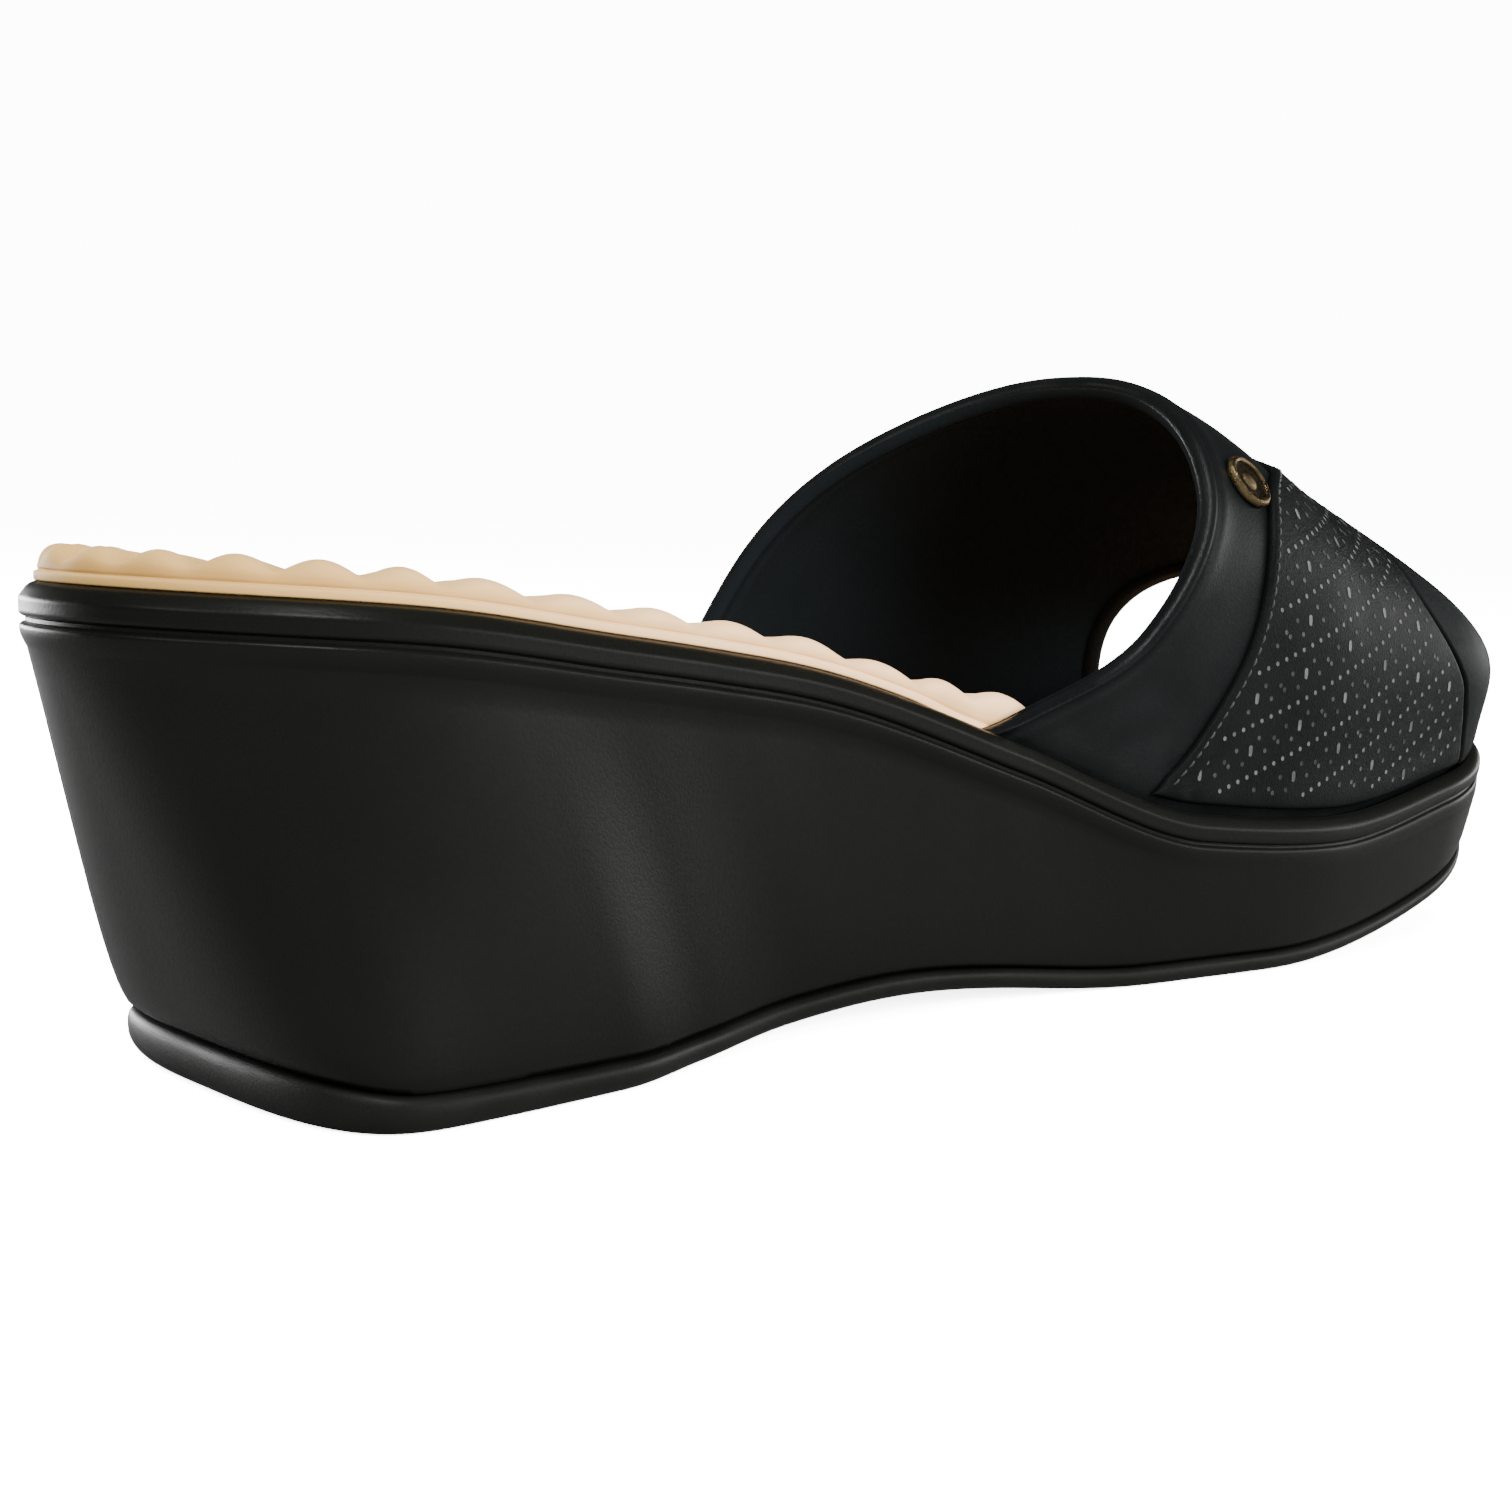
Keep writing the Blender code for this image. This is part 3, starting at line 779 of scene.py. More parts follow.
class Effects:
    """The effects that more than one material uses, as node groups."""

    GRAIN = "hide grain"
    LINT = "lint and dust"
    TONE = "soft tone"
    FINE_WAVES = 4200.0  # the finest noise on a hide, in waves per metre
    FINE_DETAIL = 3.0
    FINE_SHARE = 0.35
    CREASE_REACH = 0.22  # how far a crease reaches into its cell
    WAVER_SCALE = 0.5  # waves of a cell's wavering edge, for each cell
    LINT_WAVES = 2600.0
    LINT_WOBBLE = 0.05
    LINT_SOFTNESS = 0.014
    TONE_DETAIL = 4.0
    TONE_RANGE = (0.35, 0.65)

    @staticmethod
    def start(name: str, inputs: dict[str, object], outputs: dict[str, str]) -> tuple[Nodes, dict, dict]:
        """An empty group with its sockets.

        Args:
            name: the group's name.
            inputs: each input's name with its first value, a number or a colour.
            outputs: each output's name with its kind of socket.

        Returns:
            The group's nodes, its inputs by name and its outputs by name.
        """
        tree = bpy.data.node_groups.new(name, "ShaderNodeTree")
        for key, value in inputs.items():
            kind = "NodeSocketColor" if isinstance(value, tuple) else "NodeSocketFloat"
            socket = tree.interface.new_socket(key, in_out="INPUT", socket_type=kind)
            socket.default_value = (*value, 1.0) if isinstance(value, tuple) else value
        for key, kind in outputs.items():
            tree.interface.new_socket(key, in_out="OUTPUT", socket_type=kind)
        nodes = Nodes(tree)
        incoming = nodes.add("NodeGroupInput").outputs
        outgoing = nodes.add("NodeGroupOutput").inputs
        return nodes, {k: incoming[k] for k in inputs}, {k: outgoing[k] for k in outputs}

    @classmethod
    def grain(cls) -> None:
        """Pebbled hide or moulded grain: cells with soft creases between them."""
        nodes, given, out = cls.start(
            cls.GRAIN,
            {"Cells": 900.0, "Waver": 0.25},
            {"Height": "NodeSocketFloat"},
        )
        waves = nodes.math("MULTIPLY", given["Cells"], cls.WAVER_SCALE)
        bent = nodes.add("ShaderNodeVectorMath", operation="MULTIPLY_ADD")
        nodes.link(nodes.noise(waves, output="Color"), bent.inputs[0])
        nodes.link(nodes.math("DIVIDE", given["Waver"], given["Cells"]), bent.inputs[1])
        nodes.link(nodes.place(), bent.inputs[2])
        cell = nodes.cells(given["Cells"], "DISTANCE_TO_EDGE", bent.outputs["Vector"])
        crease = nodes.between(cell.outputs["Distance"], 0.0, cls.CREASE_REACH, (1.0, 0.0))
        fine = nodes.noise(cls.FINE_WAVES, cls.FINE_DETAIL)
        height = nodes.math("SUBTRACT", nodes.math("MULTIPLY", fine, cls.FINE_SHARE), crease)
        nodes.link(height, out["Height"])

    @classmethod
    def lint(cls) -> None:
        """Sparse pale specks of lint and dust."""
        nodes, given, out = cls.start(
            cls.LINT,
            {
                "Colour": (0.0, 0.0, 0.0),
                "Lint": (0.2, 0.2, 0.18),
                "Cells": 70.0,
                "Share": 0.12,
                "Radius": 0.018,
            },
            {"Colour": "NodeSocketColor"},
        )
        cell = nodes.cells(given["Cells"])
        picked = nodes.math("LESS_THAN", cell.outputs["Color"], given["Share"])
        wobble = nodes.math("MULTIPLY", nodes.noise(cls.LINT_WAVES), cls.LINT_WOBBLE)
        away = nodes.math("ADD", cell.outputs["Distance"], wobble)
        reach = nodes.math("ADD", given["Radius"], cls.LINT_WOBBLE / 2)
        near = nodes.math("SUBTRACT", reach, away)
        speck = nodes.math("MULTIPLY", nodes.between(near, 0.0, cls.LINT_SOFTNESS), picked)
        nodes.link(nodes.blend(speck, given["Colour"], given["Lint"]), out["Colour"])

    @classmethod
    def tone(cls) -> None:
        """Broad, faint changes of tone, and the same changes as a value."""
        nodes, given, out = cls.start(
            cls.TONE,
            {"Colour": (0.02, 0.02, 0.02), "Other": (0.03, 0.03, 0.03), "Waves": 30.0},
            {"Colour": "NodeSocketColor", "Value": "NodeSocketFloat"},
        )
        share = nodes.between(nodes.noise(given["Waves"], cls.TONE_DETAIL), *cls.TONE_RANGE)
        nodes.link(share, out["Value"])
        nodes.link(nodes.blend(share, given["Colour"], given["Other"]), out["Colour"])


@dataclass(frozen=True)
class Finish:
    """A procedural finish. Lengths of its grain are in millimetres, colours are linear."""

    name: str
    colour: tuple[float, float, float]
    other: tuple[float, float, float]  # the tone that the colour drifts to
    roughness: tuple[float, float]  # where the tone is the colour, and where it is the other
    grain: float = 1.1  # size of a cell of the grain
    waver: float = 1.4
    relief: float = 0.04
    waves: float = 30.0  # changes of tone per metre
    specular: float = 0.5
    sheen: float = 0.0
    metallic: float = 0.0
    lint: float = 0.0  # share of the places that hold a speck

    def shader(self, nodes: Nodes) -> bpy.types.Node:
        """The Principled shader with the values that are the same all over.

        Args:
            nodes: the material's nodes.

        Returns:
            The shader.
        """
        shader = nodes.tree.nodes["Principled BSDF"]
        for socket, value in (
            ("Specular IOR Level", self.specular),
            ("Sheen Weight", self.sheen),
            ("Metallic", self.metallic),
        ):
            shader.inputs[socket].default_value = value
        return shader

    def colours(self, nodes: Nodes) -> tuple[bpy.types.NodeSocket, bpy.types.NodeSocket]:
        """The surface's colour, and the value that its roughness follows.

        Args:
            nodes: the material's nodes.

        Returns:
            Both, as sockets.
        """
        tone = nodes.group(Effects.TONE, Colour=self.colour, Other=self.other, Waves=self.waves)
        colour = tone.outputs["Colour"]
        if self.lint:
            colour = nodes.group(Effects.LINT, Colour=colour, Share=self.lint).outputs["Colour"]
        return colour, tone.outputs["Value"]

    def height(self, nodes: Nodes) -> bpy.types.NodeSocket:
        """The relief of the surface, in millimetres."""
        grain = nodes.group(Effects.GRAIN, Cells=1000 / self.grain, Waver=self.waver)
        return nodes.math("MULTIPLY", grain.outputs["Height"], self.relief)

    def build(self) -> bpy.types.Material:
        """The finished material.

        Returns:
            The material.
        """
        material = bpy.data.materials.new(self.name)
        material.use_nodes = True
        nodes = Nodes(material.node_tree)
        shader = self.shader(nodes)
        colour, value = self.colours(nodes)
        nodes.link(colour, shader.inputs["Base Color"])
        nodes.link(nodes.between(value, 0.0, 1.0, self.roughness), shader.inputs["Roughness"])
        bump = nodes.add("ShaderNodeBump")
        bump.inputs["Distance"].default_value = MM
        nodes.link(self.height(nodes), bump.inputs["Height"])
        nodes.link(bump.outputs["Normal"], shader.inputs["Normal"])
        return material


@dataclass(frozen=True)
class WeaveFinish(Finish):
    """A lining of fine cloth, its threads crossing along the shoe and up it."""

    thread: float = 0.55  # from one thread to the next but one, in millimetres

    def height(self, nodes: Nodes) -> bpy.types.NodeSocket:
        """Threads over and under each other.

        Args:
            nodes: the material's nodes.

        Returns:
            The relief, in millimetres.
        """
        parts = nodes.add("ShaderNodeSeparateXYZ")
        nodes.link(nodes.place(), parts.inputs[0])
        turns = 2 * math.pi * 1000 / self.thread
        along = nodes.math("SINE", nodes.math("MULTIPLY", parts.outputs["X"], turns))
        up = nodes.math("SINE", nodes.math("MULTIPLY", parts.outputs["Z"], turns))
        return nodes.math("MULTIPLY", nodes.math("MULTIPLY", along, up), self.relief)


@dataclass(frozen=True)
class PadFinish(Finish):
    """The footbed's cover: warmer at the heel, paler towards the ball, with painted shade along the
    pad's foot under its lobes.
    """

    heel: tuple[float, float, float] = (0.50, 0.30, 0.095)
    fade_start: float = -0.13  # where the heel's colour starts to fade, in metres
    fade_end: float = -0.04
    painted_shade: tuple[float, float, float] = (0.76, 0.70, 0.58)  # painted shade under the lobes: what the pad's foot keeps of the colour
    foot_start: float = 0.10  # the painted shade on the pad's foot, by the share of the pad's rise
    foot_full: float = 0.16
    foot_end: float = 0.85

    def colours(self, nodes: Nodes) -> tuple[bpy.types.NodeSocket, bpy.types.NodeSocket]:
        """The tone of the cover, with the heel's warmer colour faded in and painted shade darkening its
        foot.

        Args:
            nodes: the material's nodes.

        Returns:
            The colour, and the value that the roughness follows.
        """
        tone = nodes.group(Effects.TONE, Colour=self.colour, Other=self.other, Waves=self.waves)
        parts = nodes.add("ShaderNodeSeparateXYZ")
        nodes.link(nodes.place(), parts.inputs[0])
        share = nodes.between(parts.outputs["X"], self.fade_start, self.fade_end)
        cover = nodes.blend(share, self.heel, tone.outputs["Colour"])
        # painted shade: the pad's foot, above the flange and under the lobes, is multiplied darker by a
        # shade colour that rises in and fades out by the share of the pad's rise
        up = nodes.add("ShaderNodeAttribute", attribute_name="mark").outputs["Fac"]
        onset = nodes.between(up, self.foot_start, self.foot_full)
        fading = nodes.between(up, self.foot_full, self.foot_end, (1.0, 0.0))
        foot = nodes.math("MULTIPLY", onset, fading)
        return nodes.blend(foot, cover, self.painted_shade, "MULTIPLY"), tone.outputs["Value"]


class Kit:
    """Every finish of the shoe, built once."""

    def __init__(self) -> None:
        """Builds the shared effects, then the materials."""
        Effects.grain()
        Effects.lint()
        Effects.tone()
        self.moulded = Finish(
            "moulded polyurethane", (0.0027, 0.0029, 0.0022), (0.0036, 0.0039, 0.0031), (0.40, 0.34),
            grain=0.8, relief=0.006, waves=22, specular=0.27, lint=0.05,
        ).build()
        self.rubber = Finish(
            "tread rubber", (0.0032, 0.0034, 0.0027), (0.0052, 0.0054, 0.0046), (0.42, 0.52),
            grain=0.7, relief=0.008, waves=40, specular=0.32, lint=0.03,
        ).build()
        self.leather = Finish(
            "smooth leather", (0.0026, 0.0031, 0.0032), (0.0036, 0.0042, 0.0043), (0.30, 0.38),
            grain=0.7, relief=0.012, waves=60, specular=0.26, lint=0.03,
        ).build()
        self.binding = Finish(
            "binding leather", (0.0026, 0.0031, 0.0032), (0.0036, 0.0042, 0.0043), (0.50, 0.60),
            grain=0.7, relief=0.012, waves=60, specular=0.08, lint=0.03,
        ).build()
        self.perforated = Finish(
            "perforated leather", (0.0024, 0.0028, 0.0027), (0.0035, 0.0039, 0.0038), (0.40, 0.48),
            grain=0.55, relief=0.02, waves=90, specular=0.14, lint=0.02,
        ).build()
        self.pinhole = Finish(
            "pinhole backing", (0.045, 0.047, 0.045), (0.070, 0.072, 0.070), (0.5, 0.6),
            grain=0.3, relief=0.01, waves=500, specular=0.4,
        ).build()
        self.motif = Finish(
            "motif backing", (0.012, 0.013, 0.012), (0.034, 0.035, 0.034), (0.5, 0.6),
            grain=0.3, relief=0.01, waves=500, specular=0.4,
        ).build()
        self.slot = Finish(
            "slot backing", (0.034, 0.035, 0.034), (0.080, 0.082, 0.078), (0.4, 0.5),
            grain=0.3, relief=0.01, waves=400, specular=0.5,
        ).build()
        self.thread = Finish(
            "sewing thread", (0.016, 0.017, 0.017), (0.030, 0.032, 0.031), (0.45, 0.6),
            grain=0.25, relief=0.03, waves=300, specular=0.4, sheen=0.2,
        ).build()
        self.lining = WeaveFinish(
            "upper lining", (0.0040, 0.0054, 0.0062), (0.0050, 0.0066, 0.0076), (0.80, 0.90),
            relief=0.01, waves=30, specular=0.05,
        ).build()
        self.cover = PadFinish(
            "padded cover", (0.78, 0.49, 0.255), (0.82, 0.53, 0.29), (0.62, 0.7),
            grain=0.5, relief=0.008, waves=25, specular=0.2,
        ).build()
        self.bronze = Finish(
            "worn bronze", (0.24, 0.17, 0.085), (0.42, 0.31, 0.16), (0.22, 0.42),
            grain=0.3, relief=0.02, waves=500, metallic=1.0,
        ).build()
        self.dark_bronze = Finish(
            "darkened bronze", (0.055, 0.045, 0.026), (0.11, 0.085, 0.05), (0.35, 0.5),
            grain=0.25, relief=0.05, waves=700, metallic=1.0,
        ).build()


@dataclass
class Outsole:
    """The thin rubber tread, with its bulged edge and crosswise channels."""

    steps: int = 220
    edge_steps: int = 22
    channel_depth: float = 1.2
    channel_width: float = 3.0
    channel_pitch: float = 9.0
    channel_margin: float = 8.0
    heel_channels: int = 4
    heel_start: float = 35.5
    fore_channels: int = 7
    fore_start: float = 153.0
    edge: Table = Table(
        ("height", "outset"),
        (
            (0.00, -1.30),
            (0.03, -0.60),
            (0.16, 0.30),
            (0.45, 0.95),
            (0.66, 1.00),
            (0.86, 0.75),
            (0.97, 0.20),
            (1.00, -0.60),
        ),
    )

    def mesh(self) -> tuple[np.ndarray, list]:
        """Rings from the underside up, closed above and below.

        Returns:
            Points and faces.
        """
        base = LAST.ring(Level.TREAD, self.steps)
        heights, outsets = refine(self.edge, self.edge_steps)
        rings = []
        for height, out in zip(heights, outsets * LAST.outsole_proud):
            points = outset(base, out)
            x = points[:, 0]
            rings.append(np.column_stack([points, LAST.tread_z(x) + height * LAST.outsole_thickness(x)]))
        return stacked(rings)

    def cutter(self) -> bpy.types.Object:
        """Boxes that cut the channels into heel and forefoot.

        Returns:
            The boxes as one object, not a piece.
        """
        net = bmesh.new()
        starts = [self.heel_start + i * self.channel_pitch for i in range(self.heel_channels)]
        starts += [self.fore_start + i * self.channel_pitch for i in range(self.fore_channels)]
        for x in starts:
            medial = -(LAST.half_width(x, Side.MEDIAL, Level.TREAD) - self.channel_margin)
            lateral = LAST.half_width(x, Side.LATERAL, Level.TREAD) - self.channel_margin
            top = float(LAST.tread_z(x)) + self.channel_depth
            reach = top + 2 * self.channel_depth
            cube = bmesh.ops.create_cube(net, size=1.0)["verts"]
            size = (self.channel_width * MM, (lateral - medial) * MM, reach * MM)
            bmesh.ops.scale(net, vec=size, verts=cube)
            middle = Vector((x, (medial + lateral) / 2, top - reach / 2)) * MM + SHIFT
            bmesh.ops.translate(net, vec=middle, verts=cube)
        mesh = bpy.data.meshes.new("channels")
        net.to_mesh(mesh)
        net.free()
        cutter = bpy.data.objects.new("channels", mesh)
        bpy.context.scene.collection.objects.link(cutter)
        return cutter

    def build(self, kit: Kit) -> None:
        """Makes the tread and cuts its channels.

        Args:
            kit: the finishes.
        """
        points, faces = self.mesh()
        tread = Piece("tread_unit", points, faces, [kit.rubber], "tread_rubber", ("outsole",)).build()
        cutter = self.cutter()
        cut = tread.modifiers.new("channels", "BOOLEAN")
        cut.operation = "DIFFERENCE"
        cut.object = cutter
        apply_modifiers(tread)
        bpy.data.objects.remove(cutter, do_unlink=True)


def apply_modifiers(obj: bpy.types.Object) -> None:
    """Replaces a piece's mesh by what its modifiers make of it.

    Args:
        obj: the piece.
    """
    graph = bpy.context.evaluated_depsgraph_get()
    mesh = bpy.data.meshes.new_from_object(obj.evaluated_get(graph))
    obj.modifiers.clear()
    obj.data = mesh


@dataclass
class Wedge:
    """The moulded heel, waist and platform in one, with its rim bead, groove and lip."""

    steps: int = 260
    rim_steps: int = 44
    bow: float = 2.0  # how far the heel's wall swells out
    bow_power: float = 0.42  # under 1, so that the swell is widest low down
    bow_least: float = 0.35  # share of the swell that the lowest wall keeps
    toe_rim_share: float = 0.86  # height of the rim's section at the toe, over its own
    rim_top_in: float = 1.9  # where the rim's flat top ends, inside the outline
    lip_end: float = 205.0  # the lip under the groove has gone here
    lip_fade: float = 60.0
    wall_shares: tuple[float, ...] = (
        0.0, 0.02, 0.05, 0.08, 0.13, 0.2, 0.28, 0.37, 0.46, 0.55, 0.65, 0.75, 0.85, 0.93,
    )
    rim: Table = Table(
        ("drop", "outset", "toe_outset"),
        (
            (0.20, -1.50, -1.50),
            (0.35, -1.20, -1.10),
            (1.55, -0.24, -0.12),
            (1.85, -0.06, -0.03),
            (2.10, 0.00, 0.00),
            (2.70, -0.02, 0.00),
            (3.60, -0.04, -0.10),
            (3.95, -0.30, -0.45),
            (4.20, -0.78, -0.85),
            (4.60, -0.78, -0.80),
            (4.85, -0.32, -0.50),
            (5.25, -0.10, -0.36),
            (5.80, -0.16, -0.33),
            (6.60, -0.42, -0.36),
            (7.60, -0.95, -0.42),
        ),
    )

    def mesh(self) -> tuple[np.ndarray, list]:
        """Rings from the foot of the wall up over the rim and down to the seat.

        Returns:
            Points and faces.
        """
        rim = LAST.ring(Level.RIM, self.steps)
        foot = LAST.ring(Level.TREAD, self.steps)
        lift = LAST.outsole_thickness(foot[:, 0]) + LAST.clearance
        foot = np.column_stack([foot, LAST.tread_z(foot[:, 0]) + lift])
        drops, outsets, toe_outsets = refine(self.rim, self.rim_steps)
        fore = step_between(rim[:, 0], self.lip_end - self.lip_fade, self.lip_end)

        def rim_ring(drop: float, out: float, toe_out: float) -> np.ndarray:
            """A ring of the rim's section.

            Args:
                drop: how far under the rim's top.
                out: how far out at the heel and waist.
                toe_out: how far out round the toe.

            Returns:
                The ring.
            """
            points = outset(rim, out + (toe_out - out) * fore)
            ahead = step_between(points[:, 0], LAST.fore_flat_start, LAST.length)
            return LAST.over_rim(points, -drop * (1 - (1 - self.toe_rim_share) * ahead))

        wall_top = rim_ring(drops[-1], outsets[-1], toe_outsets[-1])
        height = (wall_top - foot)[:, 2] / LAST.heel_height
        swell = (outset(rim, self.bow) - rim) * np.clip(height, self.bow_least, 1)[:, None]
        rings = []
        for share in self.wall_shares:
            points = foot + (wall_top - foot) * share
            points[:, :2] += swell * math.sin(math.pi * share**self.bow_power)
            rings.append(points)
        rings += [rim_ring(*row) for row in zip(drops[::-1], outsets[::-1], toe_outsets[::-1])]
        for drop, inward in (
            (0.0, self.rim_top_in), (0.0, LAST.rim_width), (LAST.seat_depth, LAST.rim_width)
        ):
            rings.append(rim_ring(drop, -inward, -inward))
        return stacked(rings)

    def build(self, kit: Kit) -> None:
        """Makes the wedge."""
        points, faces = self.mesh()
        Piece("moulded_wedge", points, faces, [kit.moulded], "wedge_foam", ("wedge",)).build()


@dataclass
class Footbed:
    """The padded footbed: a thin flange, a groove, a lobed body and a cupped top."""

    lobe_points: int = 18
    section_steps: int = 26
    flange_height: float = 1.0
    overhang: float = 0.8  # how far the flange reaches over the rim, outside the upper
    flange: Table = Table(("out", "above"), ((0.0, 0.08), (0.9, 0.08), (1.0, 0.25), (1.0, 0.75)))
    lobe_pitch: float = 13.2
    heel_lobe_pitch: float = 10.1
    heel_lobes: int = 5
    lobe_depth: float = 1.5
    lobe_softness: float = 0.16
    hollow_start: float = 0.14  # the hollow's middle line runs between these shares of the length
    hollow_end: float = 0.86
    hollow_rings: int = 16
    cup_power: float = 1.5
    crest_fade: float = 3.0  # the lobes' wave has gone after one part in this many of the way in
    notch_behind: float = 16.0  # the pad's edge steps in for the upper between these places,
    notch_lead: float = 1.0  # which are counted from the collar's foot
    notch_past: float = 2.0  # and steps out again between these, counted from the toe opening
    notch_ahead: float = 7.0
    table: Table = Table(
        ("station", "edge", "cup"),
        (
            (0.04, 3.7, 3.2),
            (0.20, 3.2, 3.2),
            (0.40, 3.2, 3.2),
            (0.51, 6.7, 2.4),
            (0.95, 11.0, 2.0),
        ),
    )
    section: Table = Table(
        ("inset", "share", "lobe_out", "lobe_up"),
        (
            (0.00, 0.00, 0.00, 0.0),
            (0.12, 0.05, 0.00, 0.0),
            (0.36, 0.08, 0.00, 0.0),
            (0.42, 0.12, 0.00, 0.0),
            (0.22, 0.24, 0.05, 0.0),
            (0.25, 0.50, 0.20, 0.1),
            (0.60, 0.76, 0.34, 0.5),
            (1.35, 0.91, 0.34, 0.9),
            (2.50, 0.98, 0.20, 1.0),
            (4.20, 0.94, 0.05, 0.7),
        ),
    )

    def room(self, points: np.ndarray) -> np.ndarray:
        """How far the footbed's edge stands in, past the rim and past the upper's wall.

        Args:
            points: the rim's ring.

        Returns:
            A distance for each point.
        """
        x, y = points.T
        covered = np.zeros(len(x))
        for sign, angle in ((-1, 0.0), (1, 180.0)):
            rear = LAST.edge_at(angle, "collar")
            front = LAST.edge_at(angle, "toe")
            inside = step_between(x, rear - self.notch_behind, rear - self.notch_lead)
            inside *= 1 - step_between(x, front + self.notch_past, front + self.notch_ahead)
            covered = np.where(np.sign(y) == sign, inside, covered)
        return LAST.rim_width + LAST.clearance + (LAST.upper_wall + 2 * LAST.clearance) * covered

    def lobed_ring(self) -> tuple[np.ndarray, np.ndarray]:
        """The rim's ring with even steps to each lobe, and the lobes' wave.

        Returns:
            The ring, and the wave at each of its points, from -0.5 in a valley to 0.5.
        """
        sides = LAST.sides(Level.RIM, DENSE_STEPS)
        runs = [lengths(side) for side in sides]
        close = self.heel_lobes * self.heel_lobe_pitch
        half = np.mean([run[-1] for run in runs])
        lobes = self.heel_lobes + round((half - close) / self.lobe_pitch)
        count = np.linspace(0, lobes, lobes * self.lobe_points + 1)
        edge = []
        for side, run in zip(sides, runs):
            at = np.interp(count, (0, self.heel_lobes, lobes), (0, close, run[-1]))
            edge.append(np.stack([np.interp(at, run, side[:, i]) for i in (0, 1)], 1))
        soft = self.lobe_softness
        bump = np.sqrt(np.sin(math.pi * count) ** 2 + soft**2) - soft
        wave = bump / (math.hypot(1, soft) - soft) - 0.5
        return np.concatenate([edge[0], edge[1][-2:0:-1]]), np.concatenate([wave, wave[-2:0:-1]])

    def mesh(self) -> tuple[np.ndarray, list, np.ndarray]:
        """Rings from the seat up over the edge and into the hollow.

        Returns:
            Points, faces, and each point's share of the edge's rise.
        """
        rim, wave = self.lobed_ring()
        wave = self.lobe_depth * wave
        rise = self.table.curve(rim[:, 0], "edge", LAST.length)
        cup = self.table.curve(rim[:, 0], "cup", LAST.length)
        seat = self.room(rim)
        bottom = outset(rim, -seat)
        rings = [LAST.over_rim(bottom, LAST.clearance - LAST.seat_depth)]
        marks = [0.0]
        covered = (seat - LAST.rim_width - LAST.clearance) / (LAST.upper_wall + 2 * LAST.clearance)
        reach = self.overhang * (1 - covered)
        for out, above in self.flange.rows:
            rings.append(LAST.over_rim(outset(rim, -seat + out * reach), above * self.flange_height))
            marks.append(0.0)
        rows = np.linspace(0, len(self.section.rows) - 1, self.section_steps)
        knots = np.arange(len(self.section.rows), dtype=float)
        inset, share, lobe_out, lobe_up = (
            smooth(rows, knots, self.section.column(name)) for name in self.section.columns
        )
        for k in range(self.section_steps):
            points = outset(rim, -(seat + inset[k]) + reach * (1 - share[k]) + lobe_out[k] * wave)
            above = self.flange_height + (rise - self.flange_height) * share[k] + lobe_up[k] * wave
            rings.append(LAST.over_rim(points, above))
            marks.append(share[k])
        crest = rings[-1]
        middle = np.clip(crest[:, 0], self.hollow_start * LAST.length, self.hollow_end * LAST.length)
        inward = np.column_stack([middle, 0 * middle]) - crest[:, :2]
        level = crest[:, 2] - LAST.rim_z(crest[:, 0])
        for k in range(1, self.hollow_rings):
            t = k / self.hollow_rings
            fall = math.sin(math.pi / 2 * t) ** self.cup_power
            fade = level + (rise - level) * min(1.0, self.crest_fade * t)
            rings.append(LAST.over_rim(crest[:, :2] + inward * t, fade - cup * fall))
            marks.append(1.0)
        return *stacked(rings), np.repeat(marks, len(rim))

    def build(self, kit: Kit) -> None:
        """Makes the footbed.

        Args:
            kit: the finishes.
        """
        points, faces, marks = self.mesh()
        pad = Piece(
            "padded_footbed", points, faces, [kit.cover], "footbed_fabric", ("footbed",),
            sharp=180.0, marks=marks,
        ).build()


